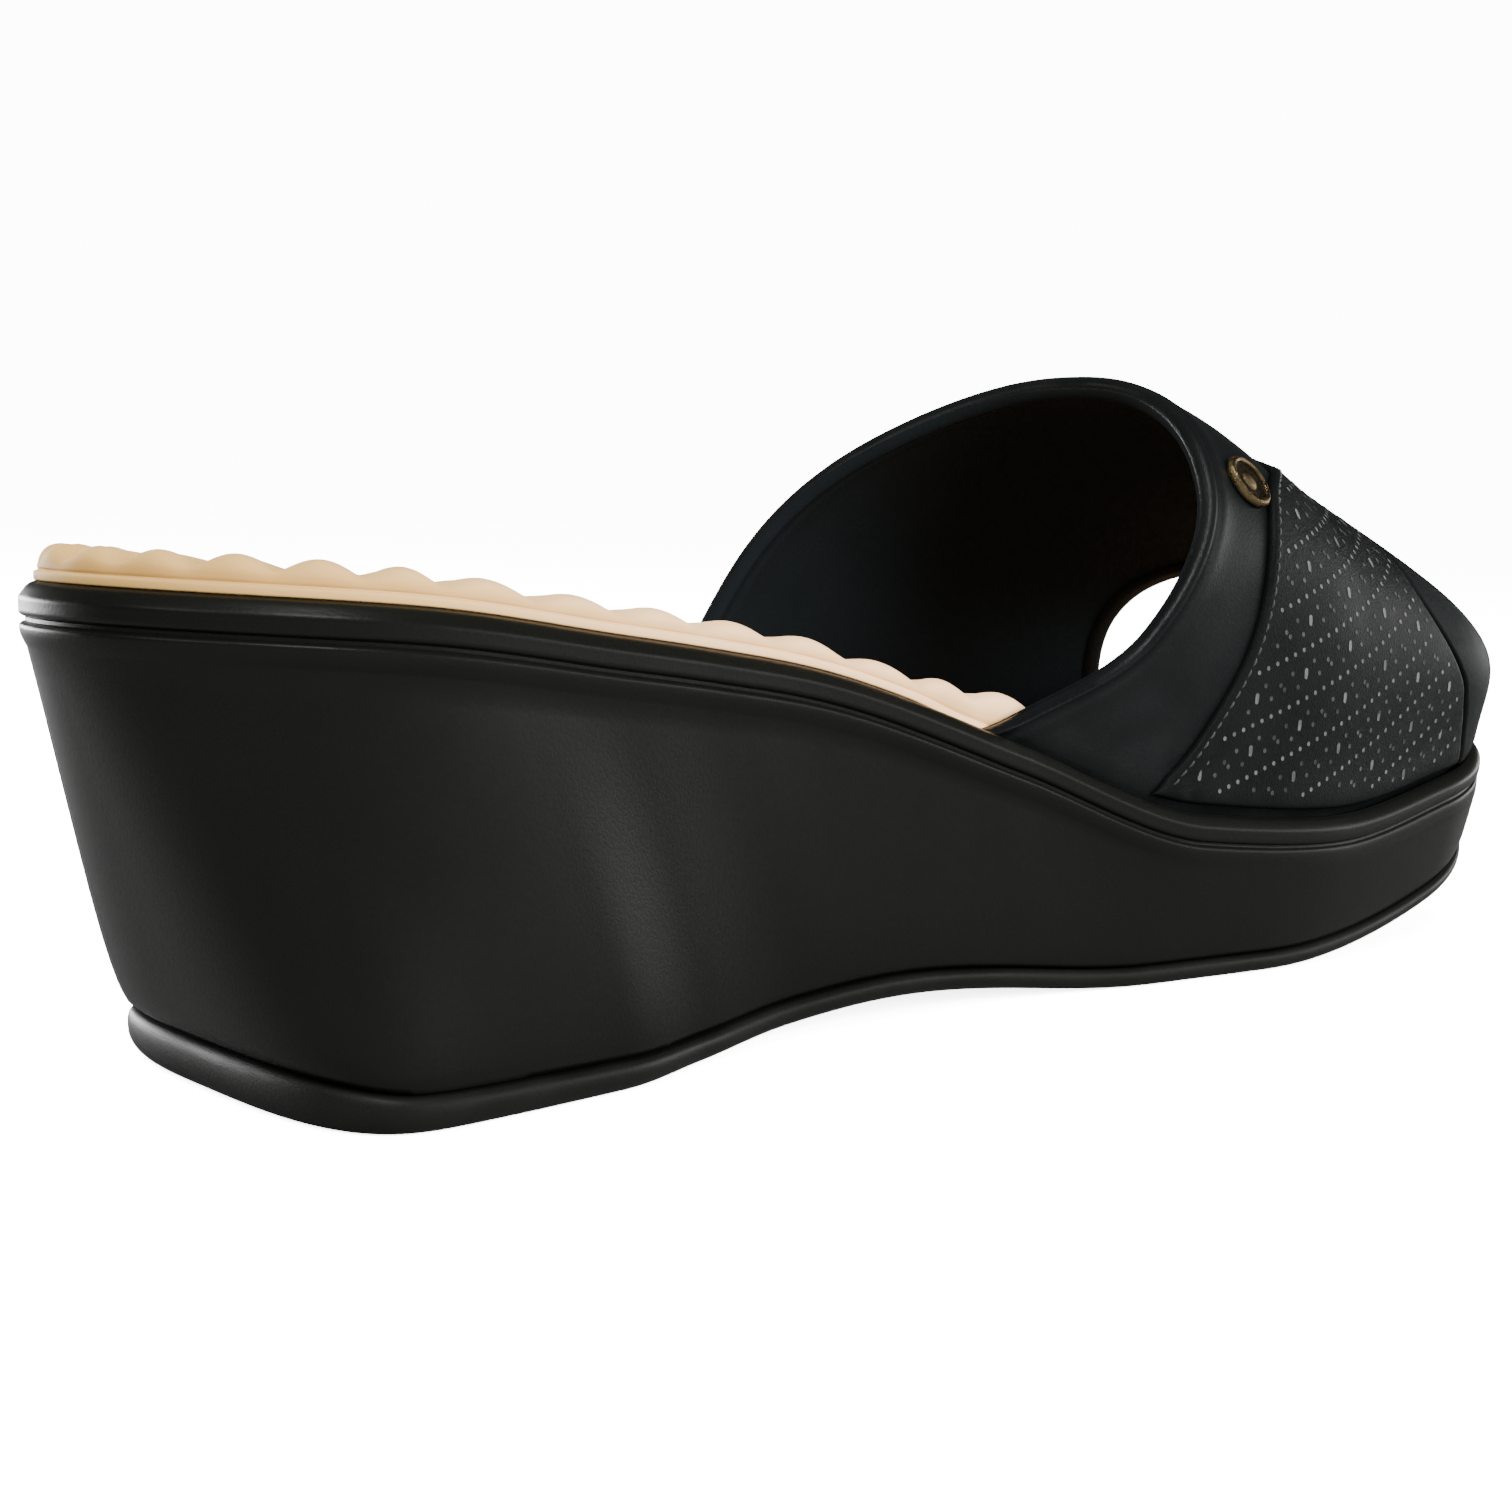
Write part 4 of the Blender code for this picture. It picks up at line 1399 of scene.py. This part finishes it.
@dataclass
class Upper:
    """The hollow vamp: smooth leather outside, lining inside, a rolled collar edge."""

    columns: int = 150
    wall_rows: int = 60
    roll_rows: int = 14
    roll_radius: float = 1.75
    roll_start: float = 1.5  # the roll's swelling fades between these distances from its edge
    roll_reach: float = 7.0
    toe_inset: float = 0.5  # the wall ends this far behind the toe opening, inside the binding

    def loop(self) -> tuple[np.ndarray, np.ndarray, np.ndarray]:
        """The wall's section as a closed loop, by edge, distance and lift.

        Returns:
            For each point, its share of the way from collar to toe, its distance ahead of the
            collar's edge, and its lift off the outer face.
        """
        share = np.linspace(1, 0, self.wall_rows)
        radius = self.roll_radius
        turn = np.linspace(math.pi / 2, -math.pi / 2, self.roll_rows)
        ahead = radius - radius * np.cos(turn)
        lift = radius * np.sin(turn) - LAST.upper_wall / 2
        outer = np.stack([share, np.full(len(share), radius), np.zeros(len(share))])
        roll = np.stack([np.zeros(len(turn)), ahead, lift])
        inner = outer[:, ::-1] - np.array([[0.0], [0.0], [LAST.upper_wall]])
        return tuple(np.concatenate([outer, roll, inner], 1))

    def mesh(self) -> tuple[np.ndarray, list, np.ndarray]:
        """Loops at each angle round the foot, joined into one closed wall.

        Returns:
            Points, faces, and each face's material: 0 for leather, 1 for lining.
        """
        share, ahead, lift = self.loop()
        angles = np.linspace(0, 180, self.columns)
        collar = LAST.edge_at(angles, "collar")[:, None]
        toe = LAST.edge_at(angles, "toe")[:, None] - self.toe_inset
        x = collar + ahead + (toe - collar - self.roll_radius) * share
        near = 1 - step_between(x - collar, self.roll_start, self.roll_reach)
        swell = (self.roll_radius - LAST.upper_wall / 2) * near
        on_wall = (ahead >= self.roll_radius) & (share > 0)
        outer = lift > -LAST.upper_wall / 2
        grown = lift + np.where(on_wall, np.where(outer, swell, -swell), 0)
        points = LAST.skin(x, np.broadcast_to(angles[:, None], x.shape), grown)
        feet = []
        for row in (points[:1], points[-1:]):
            foot = row.copy()
            foot[..., 2] -= LAST.seat_depth - LAST.clearance
            feet.append(foot)
        points = np.concatenate([feet[0], points, feet[1]])
        rows, count = points.shape[:2]
        faces = ring_faces(rows, count).tolist()
        lining = np.tile(~outer | (share == 0) & (lift < -LAST.upper_wall), rows - 1)
        for first in (0, (rows - 1) * count):
            for i in range(count // 2 - 1):
                faces.append([first + i, first + i + 1, first + count - 2 - i, first + count - 1 - i])
        caps = len(faces) - len(lining)
        return points.reshape(-1, 3), faces, np.concatenate([lining, np.zeros(caps, bool)]).astype(int)

    def build(self, kit: Kit) -> None:
        """Makes the vamp's wall.

        Args:
            kit: the finishes.
        """
        points, faces, finishes = self.mesh()
        Piece(
            "vamp_shell", points, faces, [kit.leather, kit.lining], "smooth_leather", ("upper",),
            finishes, sharp=180.0,
        ).build()


def pillow_steps(length_share: float, count: int) -> np.ndarray:
    """Shares from 0 to 1 that crowd at both ends, for a rounded edge.

    Args:
        length_share: the share of the way that the crowd at an end takes up.
        count: how many even steps lie between the crowds, their ends with them.

    Returns:
        The shares.
    """
    ends = length_share * np.array(PILLOW_ENDS)
    middle = np.linspace(length_share, 1 - length_share, count)[1:-1]
    return np.concatenate([ends, middle, (1 - ends)[::-1]])


def rounded(distance: np.ndarray, radius: float) -> np.ndarray:
    """Height share of a quarter-round edge at a distance in from it."""
    return np.sqrt(np.clip(1 - (1 - np.clip(distance / radius, 0, 1)) ** 2, 0, 1))


@dataclass
class Overlay:
    """A leather overlay on the vamp with rounded edges, between two named edges."""

    name: str
    slot: str
    rear: str
    front: str
    node: str
    edge_radius: float = 0.8
    edge_share: float = 0.02
    start: float = 1.6  # the lowest angle, just over the rim
    rows: int = 70
    columns: int = 130

    def mesh(self) -> tuple[np.ndarray, list]:
        """An outer net with rounded edges, closed by an inner one.

        Returns:
            Points and faces.
        """
        share = pillow_steps(self.edge_share, self.rows)[:, None]
        across = pillow_steps(self.edge_share / 2, self.columns)[None]
        angles = self.start + (180 - 2 * self.start) * across
        rear = LAST.edge_at(angles, self.rear)
        front = LAST.edge_at(angles, self.front)
        x = rear + (front - rear) * share
        angles = np.broadcast_to(angles, x.shape)
        flat = LAST.skin(x, angles, 0.0)
        side = np.minimum(x - rear, front - x)
        run = lengths(flat, 1)
        low = np.minimum(run, run[:, -1:] - run)
        swell = rounded(side, self.edge_radius) * rounded(low, self.edge_radius)
        outer = LAST.skin(x, angles, LAST.clearance + LAST.overlay_thickness * swell)
        inner = LAST.skin(x, angles, LAST.clearance / 2)
        rows, count = x.shape
        faces = ring_faces(rows, count, False).tolist()
        faces += (ring_faces(rows, count, False)[:, ::-1] + rows * count).tolist()
        border = [r * count for r in range(rows)]
        border += [(rows - 1) * count + c for c in range(1, count)]
        border += [r * count + count - 1 for r in range(rows - 2, -1, -1)]
        border += list(range(count - 2, 0, -1))
        for a, b in zip(border, border[1:] + border[:1]):
            faces.append([a, b, b + rows * count, a + rows * count])
        return np.concatenate([outer.reshape(-1, 3), inner.reshape(-1, 3)]), faces

    def build(self, material: bpy.types.Material) -> None:
        """Makes the overlay."""
        points, faces = self.mesh()
        Piece(self.name, points, faces, [material], self.slot, (self.node,), sharp=70.0).build()


class Backing(IntEnum):
    """What shows in a hole, by its number among the piece's materials."""

    PINHOLE = 1
    MOTIF = 2
    SLOT = 3


@dataclass(frozen=True)
class Hole:
    """One hole laid out flat: its place along the shoe, its height up the leather and its form."""

    along: float
    up: float
    radius: float
    backing: Backing
    longer: float = 0.0  # how much longer than round


@dataclass
class Pinholes:
    """The vamp panel's pinholes: slanting rows of small ones, and a motif between the rows.

    Places are laid out flat: along the shoe, and up from the rim round the upper. Both halves of
    the panel mirror each other at the instep's ridge.
    """

    row_pitch: float = 8.0
    row_slope: float = 0.44
    row_start: float = 0.9  # height of row 0 at its datum
    datum: float = 180.0
    first_row: int = -9
    last_row: int = 11
    hole_pitch: float = 2.0
    hole_radius: float = 0.29
    motif_pitch: float = 10.0
    motif_start: float = 184.0
    first_motif: int = -4
    last_motif: int = 6
    motif_radius: float = 0.30
    slot_radius: float = 0.33
    slot_length: float = 0.9
    lip: float = 0.05  # height of the ring round a hole
    margin_seam: float = 3.0
    margin_band: float = 2.6
    margin_rim: float = 3.4
    margin_ridge: float = 1.5
    map_start: float = 150.0  # the stretch of the upper that is laid out
    map_end: float = 246.0
    map_steps: int = 96
    map_turns: int = 360
    map_stride: int = 4  # heights are added up at every turn and kept at one in this many
    motif: Table = Table(
        ("along", "up"),
        ((-3.0, -0.2), (3.0, 0.2), (-1.5, -2.15), (1.5, 2.05), (4.7, 2.3), (-4.4, -2.7)),
    )
    ring: Table = Table(
        ("radius", "height", "backed"),
        ((1.50, -0.2, 0), (1.25, 0.8, 0), (1.02, 1.0, 1), (0.90, 0.7, 1), (0.50, 0.5, 1)),
    )
    sides: int = 10

    def flat_map(self) -> tuple[np.ndarray, np.ndarray, np.ndarray]:
        """The upper laid flat.

        Returns:
            Places along it, angles round it, and the height up from the rim at each of both.
        """
        xs = np.linspace(self.map_start, self.map_end, self.map_steps + 1)
        angles = np.linspace(0, 180, self.map_turns + 1)
        grid_x, grid_angle = np.meshgrid(xs, angles, indexing="ij")
        heights = lengths(LAST.face(grid_x, grid_angle)[..., 1:], 1)
        return xs, angles[:: self.map_stride], heights[:, :: self.map_stride]

    def pattern(self) -> list[Hole]:
        """Every hole of the pattern, also where it runs past the panel.

        Returns:
            The holes, row by row.
        """
        holes = []
        step = self.hole_pitch * math.cos(math.atan(self.row_slope))
        for row in range(self.first_row, self.last_row + 1):
            base = self.row_start + row * self.row_pitch
            for x in np.arange(self.map_start, self.map_end, step):
                up = base + self.row_slope * (x - self.datum)
                holes.append(Hole(x, up, self.hole_radius, Backing.PINHOLE))
            for number in range(self.first_motif, self.last_motif + 1):
                x = self.motif_start + number * self.motif_pitch
                up = base + self.row_pitch / 2 + self.row_slope * (x - self.datum)
                holes.append(Hole(x, up, self.slot_radius, Backing.SLOT, self.slot_length))
                for along, above in self.motif.rows:
                    holes.append(Hole(x + along, up + above, self.motif_radius, Backing.MOTIF))
        return holes

    def fits(self, hole: Hole, flat: tuple[np.ndarray, np.ndarray, np.ndarray]) -> list[float]:
        """Where a hole fits on the panel.

        Args:
            hole: the hole.
            flat: the upper laid flat.

        Returns:
            An angle in degrees for each half of the panel where it fits.
        """
        xs, angles, heights = flat
        if not xs[0] <= hole.along <= xs[-1]:
            return []
        row = np.array([np.interp(hole.along, xs, column) for column in heights.T])
        half = np.interp(RIDGE_ANGLE, angles, row)
        found = []
        for side in Side:
            medial = side is Side.MEDIAL
            total = half if medial else row[-1] - half
            if not self.margin_rim <= hole.up <= total - self.margin_ridge:
                continue
            angle = float(np.interp(hole.up if medial else row[-1] - hole.up, row, angles))
            rear, front = (float(LAST.edge_at(angle, name)) for name in ("seam", "band"))
            if rear + self.margin_seam <= hole.along <= front - self.margin_band:
                found.append(angle)
        return found

    def rings(self, hole: Hole, angle: float) -> np.ndarray:
        """A hole's rings of points, from outside in.

        Args:
            hole: the hole.
            angle: its angle round the foot, in degrees.

        Returns:
            The points.
        """
        x, angle = np.float64(hole.along), np.float64(angle)
        _, along, over, normal = LAST.upper_frame(x, angle)
        at = LAST.skin(x, angle, LAST.clearance + LAST.overlay_thickness)
        cosines, sines = spokes(self.sides)
        spread = cosines * along + sines * over
        stretch = np.sign(sines) * over * hole.longer / 2
        return np.concatenate([
            at + spread * hole.radius * share + stretch + normal * self.lip * height
            for share, height, _ in self.ring.rows
        ])

    def build(self, kit: Kit) -> None:
        """Makes every pinhole that fits on the panel, as one joined mesh.

        Args:
            kit: the finishes.
        """
        flat = self.flat_map()
        rows = len(self.ring.rows)
        net = tube_faces(rows, self.sides)
        net.pop(-2)  # a hole is open towards the panel
        backed = np.append(np.repeat(self.ring.column("backed")[1:], self.sides), 1).astype(int)
        points, faces, finishes = [], [], []
        for hole in self.pattern():
            for angle in self.fits(hole, flat):
                first = len(points) * rows * self.sides
                faces += [[first + number for number in face] for face in net]
                finishes.append(backed * hole.backing)
                points.append(self.rings(hole, angle))
        Piece(
            "pinholes", np.concatenate(points), faces,
            [kit.perforated, kit.pinhole, kit.motif, kit.slot], "perforated_leather",
            finishes=np.concatenate(finishes), sharp=60.0,
        ).build()
        LOG.info("pinholes: %d holes", len(points))


@dataclass
class Stitches:
    """A row of stitches along an edge of an overlay."""

    name: str
    edge: str
    inward: float
    length: float = 1.3
    gap: float = 0.55
    radius: float = 0.17
    end_share: float = 0.55  # thickness of a stitch's end, over its middle's
    rise: float = 0.9  # how far the middle stands above the ends, over the radius
    sink: float = 0.5  # how deep the ends lie, over the radius
    start: float = 4.0
    sides: int = 6
    bows: tuple[float, ...] = (0.0, 0.55, 0.9, 1.0, 0.9, 0.55, 0.0)

    def build(self, kit: Kit) -> None:
        """Makes the stitches as one joined mesh of small bowed tubes.

        Args:
            kit: the finishes.
        """
        dense = np.linspace(self.start, 180 - self.start, DENSE_ANGLES)
        x = LAST.edge_at(dense, self.edge) + self.inward
        normal = LAST.upper_frame(x, dense)[3]
        at = LAST.skin(x, dense, LAST.clearance + LAST.overlay_thickness)
        run = lengths(at)
        count = int(run[-1] / (self.length + self.gap))
        cosines, sines = spokes(self.sides)
        net = tube_faces(len(self.bows), self.sides)
        points, faces = [], []
        for number in range(count):
            spine = number * run[-1] / count + np.linspace(0, self.length, len(self.bows))
            core, out = (
                np.stack([np.interp(spine, run, line[:, i]) for i in range(3)], 1)
                for line in (at, normal)
            )
            side = np.cross(out, core[-1] - core[0])
            side /= np.linalg.norm(side, axis=1)[:, None]
            first = len(points)
            faces += [[first + corner for corner in face] for face in net]
            for k, bow in enumerate(self.bows):
                thick = self.radius * (self.end_share + (1 - self.end_share) * bow)
                centre = core[k] + out[k] * self.radius * (bow * self.rise - self.sink)
                points.extend(centre + thick * (cosines * side[k] + sines * out[k]))
        Piece(self.name, np.array(points), faces, [kit.thread], "perforated_leather").build()


@dataclass
class ToeBinding:
    """The smooth binding that wraps the edge of the toe opening."""

    columns: int = 130
    rows: int = 34
    start: float = 1.6  # the lowest angle, just over the rim
    outer: float = 1.0  # thickness outside
    inner: float = 0.7  # thickness inside
    inner_reach: float = 2.2  # how far it reaches back inside
    inner_rows: int = 10
    inner_curl: float = 0.1  # how far past its own thickness the fold's end turns up
    inner_power: int = 4  # the higher, the later it turns up
    edge_radius: float = 0.8
    edge_share: float = 0.05
    nose_back: float = 0.6  # the nose's middle lies this far behind the opening, over its radius
    nose_past: float = 0.36  # and the nose ends this far past the opening
    nose_rows: int = 14
    under: float = 0.05  # the fold's end lies this far under the wall
    root: float = 0.1  # lift of the hidden edge at the panel

    def build(self, kit: Kit) -> None:
        """Makes the binding: out from the panel, round the edge and back inside.

        Args:
            kit: the finishes.
        """
        angles = np.linspace(self.start, 180 - self.start, self.columns)[:, None]
        band = LAST.edge_at(angles, "band") + LAST.clearance
        toe = LAST.edge_at(angles, "toe")
        level = np.ones_like(toe)
        top = LAST.clearance + self.outer
        bottom = -LAST.upper_wall - LAST.clearance - self.inner
        middle, radius = (top + bottom) / 2, (top - bottom) / 2
        back = radius * self.nose_back
        share = pillow_steps(self.edge_share, self.rows)[None, : -len(PILLOW_ENDS)]
        out = (toe - back - band) * share
        foot = LAST.clearance / 2
        turn = np.linspace(math.pi / 2, -math.pi / 2, self.nose_rows + 2)[1:-1][None]
        inside = np.linspace(0, 1, self.inner_rows)[None]
        curl = (self.inner + self.inner_curl) * inside**self.inner_power
        hidden = -LAST.upper_wall - self.under
        section = (
            (band + out, foot + (top - foot) * rounded(out, self.edge_radius)),
            (
                toe - back + (back + self.nose_past) * np.cos(turn),
                (middle + radius * np.sin(turn)) * level,
            ),
            (toe - back - self.inner_reach * inside, (bottom + curl) * level),
            (toe - back - self.inner_reach, hidden * level),
            (toe - back, hidden * level),
            (band, self.root * level),
        )
        x, lift = (np.concatenate([part[i] for part in section], 1) for i in (0, 1))
        points = LAST.skin(x, np.broadcast_to(angles, x.shape), lift).reshape(-1, 3)
        faces = tube_faces(*x.shape)
        Piece("toe_binding", points, faces, [kit.binding], "smooth_leather", ("toe_band",)).build()


@dataclass
class Stud:
    """The round metal ornament: a raised rim round a sunk, plain face with a small boss."""

    diameter: float = 8.2
    height: float = 1.15
    lift: float = 0.1
    angle: float = 52.6
    from_seam: float = 4.8
    steps: int = 72
    profile: Table = Table(
        ("radius", "height", "dark"),
        (
            (1.00, 0.00, 0),
            (1.02, 0.25, 0),
            (1.00, 0.55, 0),
            (0.95, 0.85, 0),
            (0.89, 1.00, 0),
            (0.82, 0.98, 0),
            (0.76, 0.80, 0),
            (0.72, 0.50, 1),
            (0.60, 0.42, 1),
            (0.42, 0.46, 1),
            (0.34, 0.50, 1),
            (0.30, 0.66, 0),
            (0.22, 0.80, 0),
            (0.10, 0.86, 0),
        ),
    )

    def build(self, kit: Kit) -> None:
        """Turns the stud's profile about its own axis on the upper.

        Args:
            kit: the finishes.
        """
        x = float(LAST.edge_at(self.angle, "seam")) - self.from_seam
        at, along, over, normal = LAST.upper_frame(np.float64(x), np.float64(self.angle))
        cosines, sines = spokes(self.steps)
        points = []
        for radius, height, _ in self.profile.rows:
            rim = radius * self.diameter / 2 * (cosines * along + sines * over)
            points.append(at + rim + normal * (self.lift + height * self.height))
        faces = tube_faces(len(points), self.steps)
        dark = np.repeat(self.profile.column("dark")[1:], self.steps)
        Piece(
            "round_stud", np.concatenate(points), faces, [kit.bronze, kit.dark_bronze],
            "stud_bronze", ("stud",), np.concatenate([dark, [0, 0]]).astype(int), sharp=40.0,
        ).build()


@dataclass(frozen=True)
class Lamp:
    """A soft panel of light that looks at the shoe. Its place and size are in metres."""

    name: str
    place: tuple[float, float, float]
    size: tuple[float, float]
    watts: float
    glossy: bool = True  # whether glossy surfaces mirror it
    target: tuple[float, float, float] = (0.0, 0.0, 0.03)

    def build(self) -> None:
        """Makes the light."""
        data = bpy.data.lights.new(self.name, "AREA")
        data.shape = "RECTANGLE"
        data.size, data.size_y = self.size
        data.energy = self.watts
        lamp = bpy.data.objects.new(self.name, data)
        lamp.location = self.place
        ahead = Vector(self.target) - Vector(self.place)
        lamp.rotation_euler = ahead.to_track_quat("-Z", "Y").to_euler()
        lamp.visible_glossy = self.glossy
        bpy.context.scene.collection.objects.link(lamp)


@dataclass
class Studio:
    """The camera, the pale sweep and the lights.

    The camera's angles are in degrees and its lengths in millimetres. The floor's are in metres.
    """

    azimuth: float = 47.88
    elevation: float = 6.13
    roll: float = 1.60
    distance: float = 316.52
    focal_pixels: float = 2218.11
    aim: tuple[float, float, float] = (106.4, 0.0, 34.41)
    sensor: float = 36.0
    nearest: float = 0.01  # the camera sees nothing closer, in metres
    floor_tone: float = 0.12
    floor_gain: float = 70.0  # the floor's brightness to the camera, over its own
    glow: float = 13.0  # brightness of the backdrop to the camera
    near_glow: float = 0.3  # the floor's own glow by the shoe, as a share of the backdrop's
    glow_start: float = 0.1  # the floor's glow grows between these distances
    glow_end: float = 1.2
    floor_reach: float = 9.0
    floor_squares: int = 8
    surroundings: float = 0.05  # brightness of the surroundings to the shoe
    lamps: tuple[Lamp, ...] = (
        Lamp("back softbox", (-0.28, 1.06, 0.1), (0.7, 0.2), 11.0),
        Lamp("right softbox", (0.88, -0.86, 0.3), (1.6, 0.34), 3.0),
        Lamp("toe softbox", (1.15, -0.16, 0.10), (0.9, 0.24), 2.6),
        Lamp("heel softbox", (-1.1, -0.12, 0.8), (0.5, 0.4), 1.6),
        Lamp("key", (-0.5, -0.56, 0.95), (0.25, 0.25), 4.0),
        Lamp("top softbox", (0.1, 0.3, 1.4), (1.2, 1.2), 0.4),
        Lamp("top fill", (0.0, 0.0, 1.4), (1.6, 1.6), 12.0, glossy=False),
        Lamp("side fill", (0.3, -1.15, 0.4), (1.4, 0.8), 58.0, glossy=False),
        Lamp("back fill", (-0.15, 0.5, 0.3), (0.5, 0.3), 9.0, glossy=False),
        Lamp("heel fill", (-0.95, -0.6, 0.6), (1.0, 0.8), 15.0, glossy=False),
    )

    def camera(self) -> None:
        """The camera at the photograph's angle to the shoe."""
        azimuth, elevation, roll = (math.radians(a) for a in (self.azimuth, self.elevation, self.roll))
        level = math.cos(elevation)
        ahead = Vector((math.cos(azimuth) * level, math.sin(azimuth) * level, -math.sin(elevation)))
        right = ahead.cross(Vector((0, 0, 1))).normalized()
        up = right.cross(ahead)
        turned_right = right * math.cos(roll) + up * math.sin(roll)
        turned_up = up * math.cos(roll) - right * math.sin(roll)
        matrix = Matrix((turned_right, turned_up, -ahead)).transposed().to_4x4()
        matrix.translation = (Vector(self.aim) - ahead * self.distance) * MM + SHIFT
        data = bpy.data.cameras.new("camera")
        data.sensor_width = self.sensor
        data.lens = self.focal_pixels / PHOTO_PIXELS * self.sensor
        data.clip_start = self.nearest
        camera = bpy.data.objects.new("camera", data)
        camera.matrix_world = matrix
        bpy.context.scene.collection.objects.link(camera)
        bpy.context.scene.camera = camera

    def floor_material(self) -> bpy.types.Material:
        """Pale and plain to the shoe, and brighter to the camera, more so further out.

        Returns:
            The material.
        """
        material = bpy.data.materials.new("pale floor")
        material.use_nodes = True
        tree = material.node_tree
        nodes = Nodes(tree)
        tree.nodes.remove(tree.nodes["Principled BSDF"])
        plain, bright = (nodes.add("ShaderNodeBsdfDiffuse") for _ in range(2))
        nodes.feed(plain.inputs["Color"], (self.floor_tone,) * 3)
        nodes.feed(bright.inputs["Color"], (self.floor_tone * self.floor_gain,) * 3)
        away = nodes.add("ShaderNodeVectorMath", operation="LENGTH")
        nodes.link(nodes.place(), away.inputs[0])
        levels = (self.glow * self.near_glow, self.glow)
        strength = nodes.between(away.outputs["Value"], self.glow_start, self.glow_end, levels)
        glow = nodes.add("ShaderNodeEmission")
        nodes.link(strength, glow.inputs["Strength"])
        lit = nodes.add("ShaderNodeAddShader")
        nodes.link(bright.outputs[0], lit.inputs[0])
        nodes.link(glow.outputs[0], lit.inputs[1])
        seen = nodes.add("ShaderNodeMixShader")
        nodes.link(nodes.add("ShaderNodeLightPath").outputs["Is Camera Ray"], seen.inputs[0])
        nodes.link(plain.outputs[0], seen.inputs[1])
        nodes.link(lit.outputs[0], seen.inputs[2])
        nodes.link(seen.outputs[0], tree.nodes["Material Output"].inputs["Surface"])
        return material

    def sweep(self) -> None:
        """A pale floor that is wide on every side."""
        net = bmesh.new()
        squares = self.floor_squares
        bmesh.ops.create_grid(net, x_segments=squares, y_segments=squares, size=self.floor_reach)
        mesh = bpy.data.meshes.new("floor")
        net.to_mesh(mesh)
        net.free()
        mesh.materials.append(self.floor_material())
        floor = bpy.data.objects.new("floor", mesh)
        bpy.context.scene.collection.objects.link(floor)

    def world(self) -> None:
        """A white backdrop to the camera, and dim even surroundings to the shoe."""
        world = bpy.data.worlds.new("studio")
        world.use_nodes = True
        nodes = Nodes(world.node_tree)
        sky = world.node_tree.nodes["Background"]
        seen = nodes.add("ShaderNodeLightPath").outputs["Is Camera Ray"]
        more = self.glow - self.surroundings
        nodes.link(nodes.math("MULTIPLY_ADD", seen, more, self.surroundings), sky.inputs["Strength"])
        sky.inputs["Color"].default_value = (1, 1, 1, 1)
        bpy.context.scene.world = world

    def build(self) -> None:
        """Sets up camera, floor and light."""
        self.camera()
        self.sweep()
        self.world()
        for lamp in self.lamps:
            lamp.build()


def main() -> None:
    """Builds the studio and every piece of the shoe, in order."""
    logging.basicConfig(level=logging.INFO, format="%(name)s: %(message)s")
    kit = Kit()
    Studio().build()
    Outsole().build(kit)
    Wedge().build(kit)
    Footbed().build(kit)
    Upper().build(kit)
    Overlay("vamp_overlay", "perforated_leather", "seam", "band", "vamp_panel").build(kit.perforated)
    Pinholes().build(kit)
    Stitches("seam_stitches", "seam", inward=1.3).build(kit)
    ToeBinding().build(kit)
    Stud().build(kit)


if __name__ == "__main__":
    main()
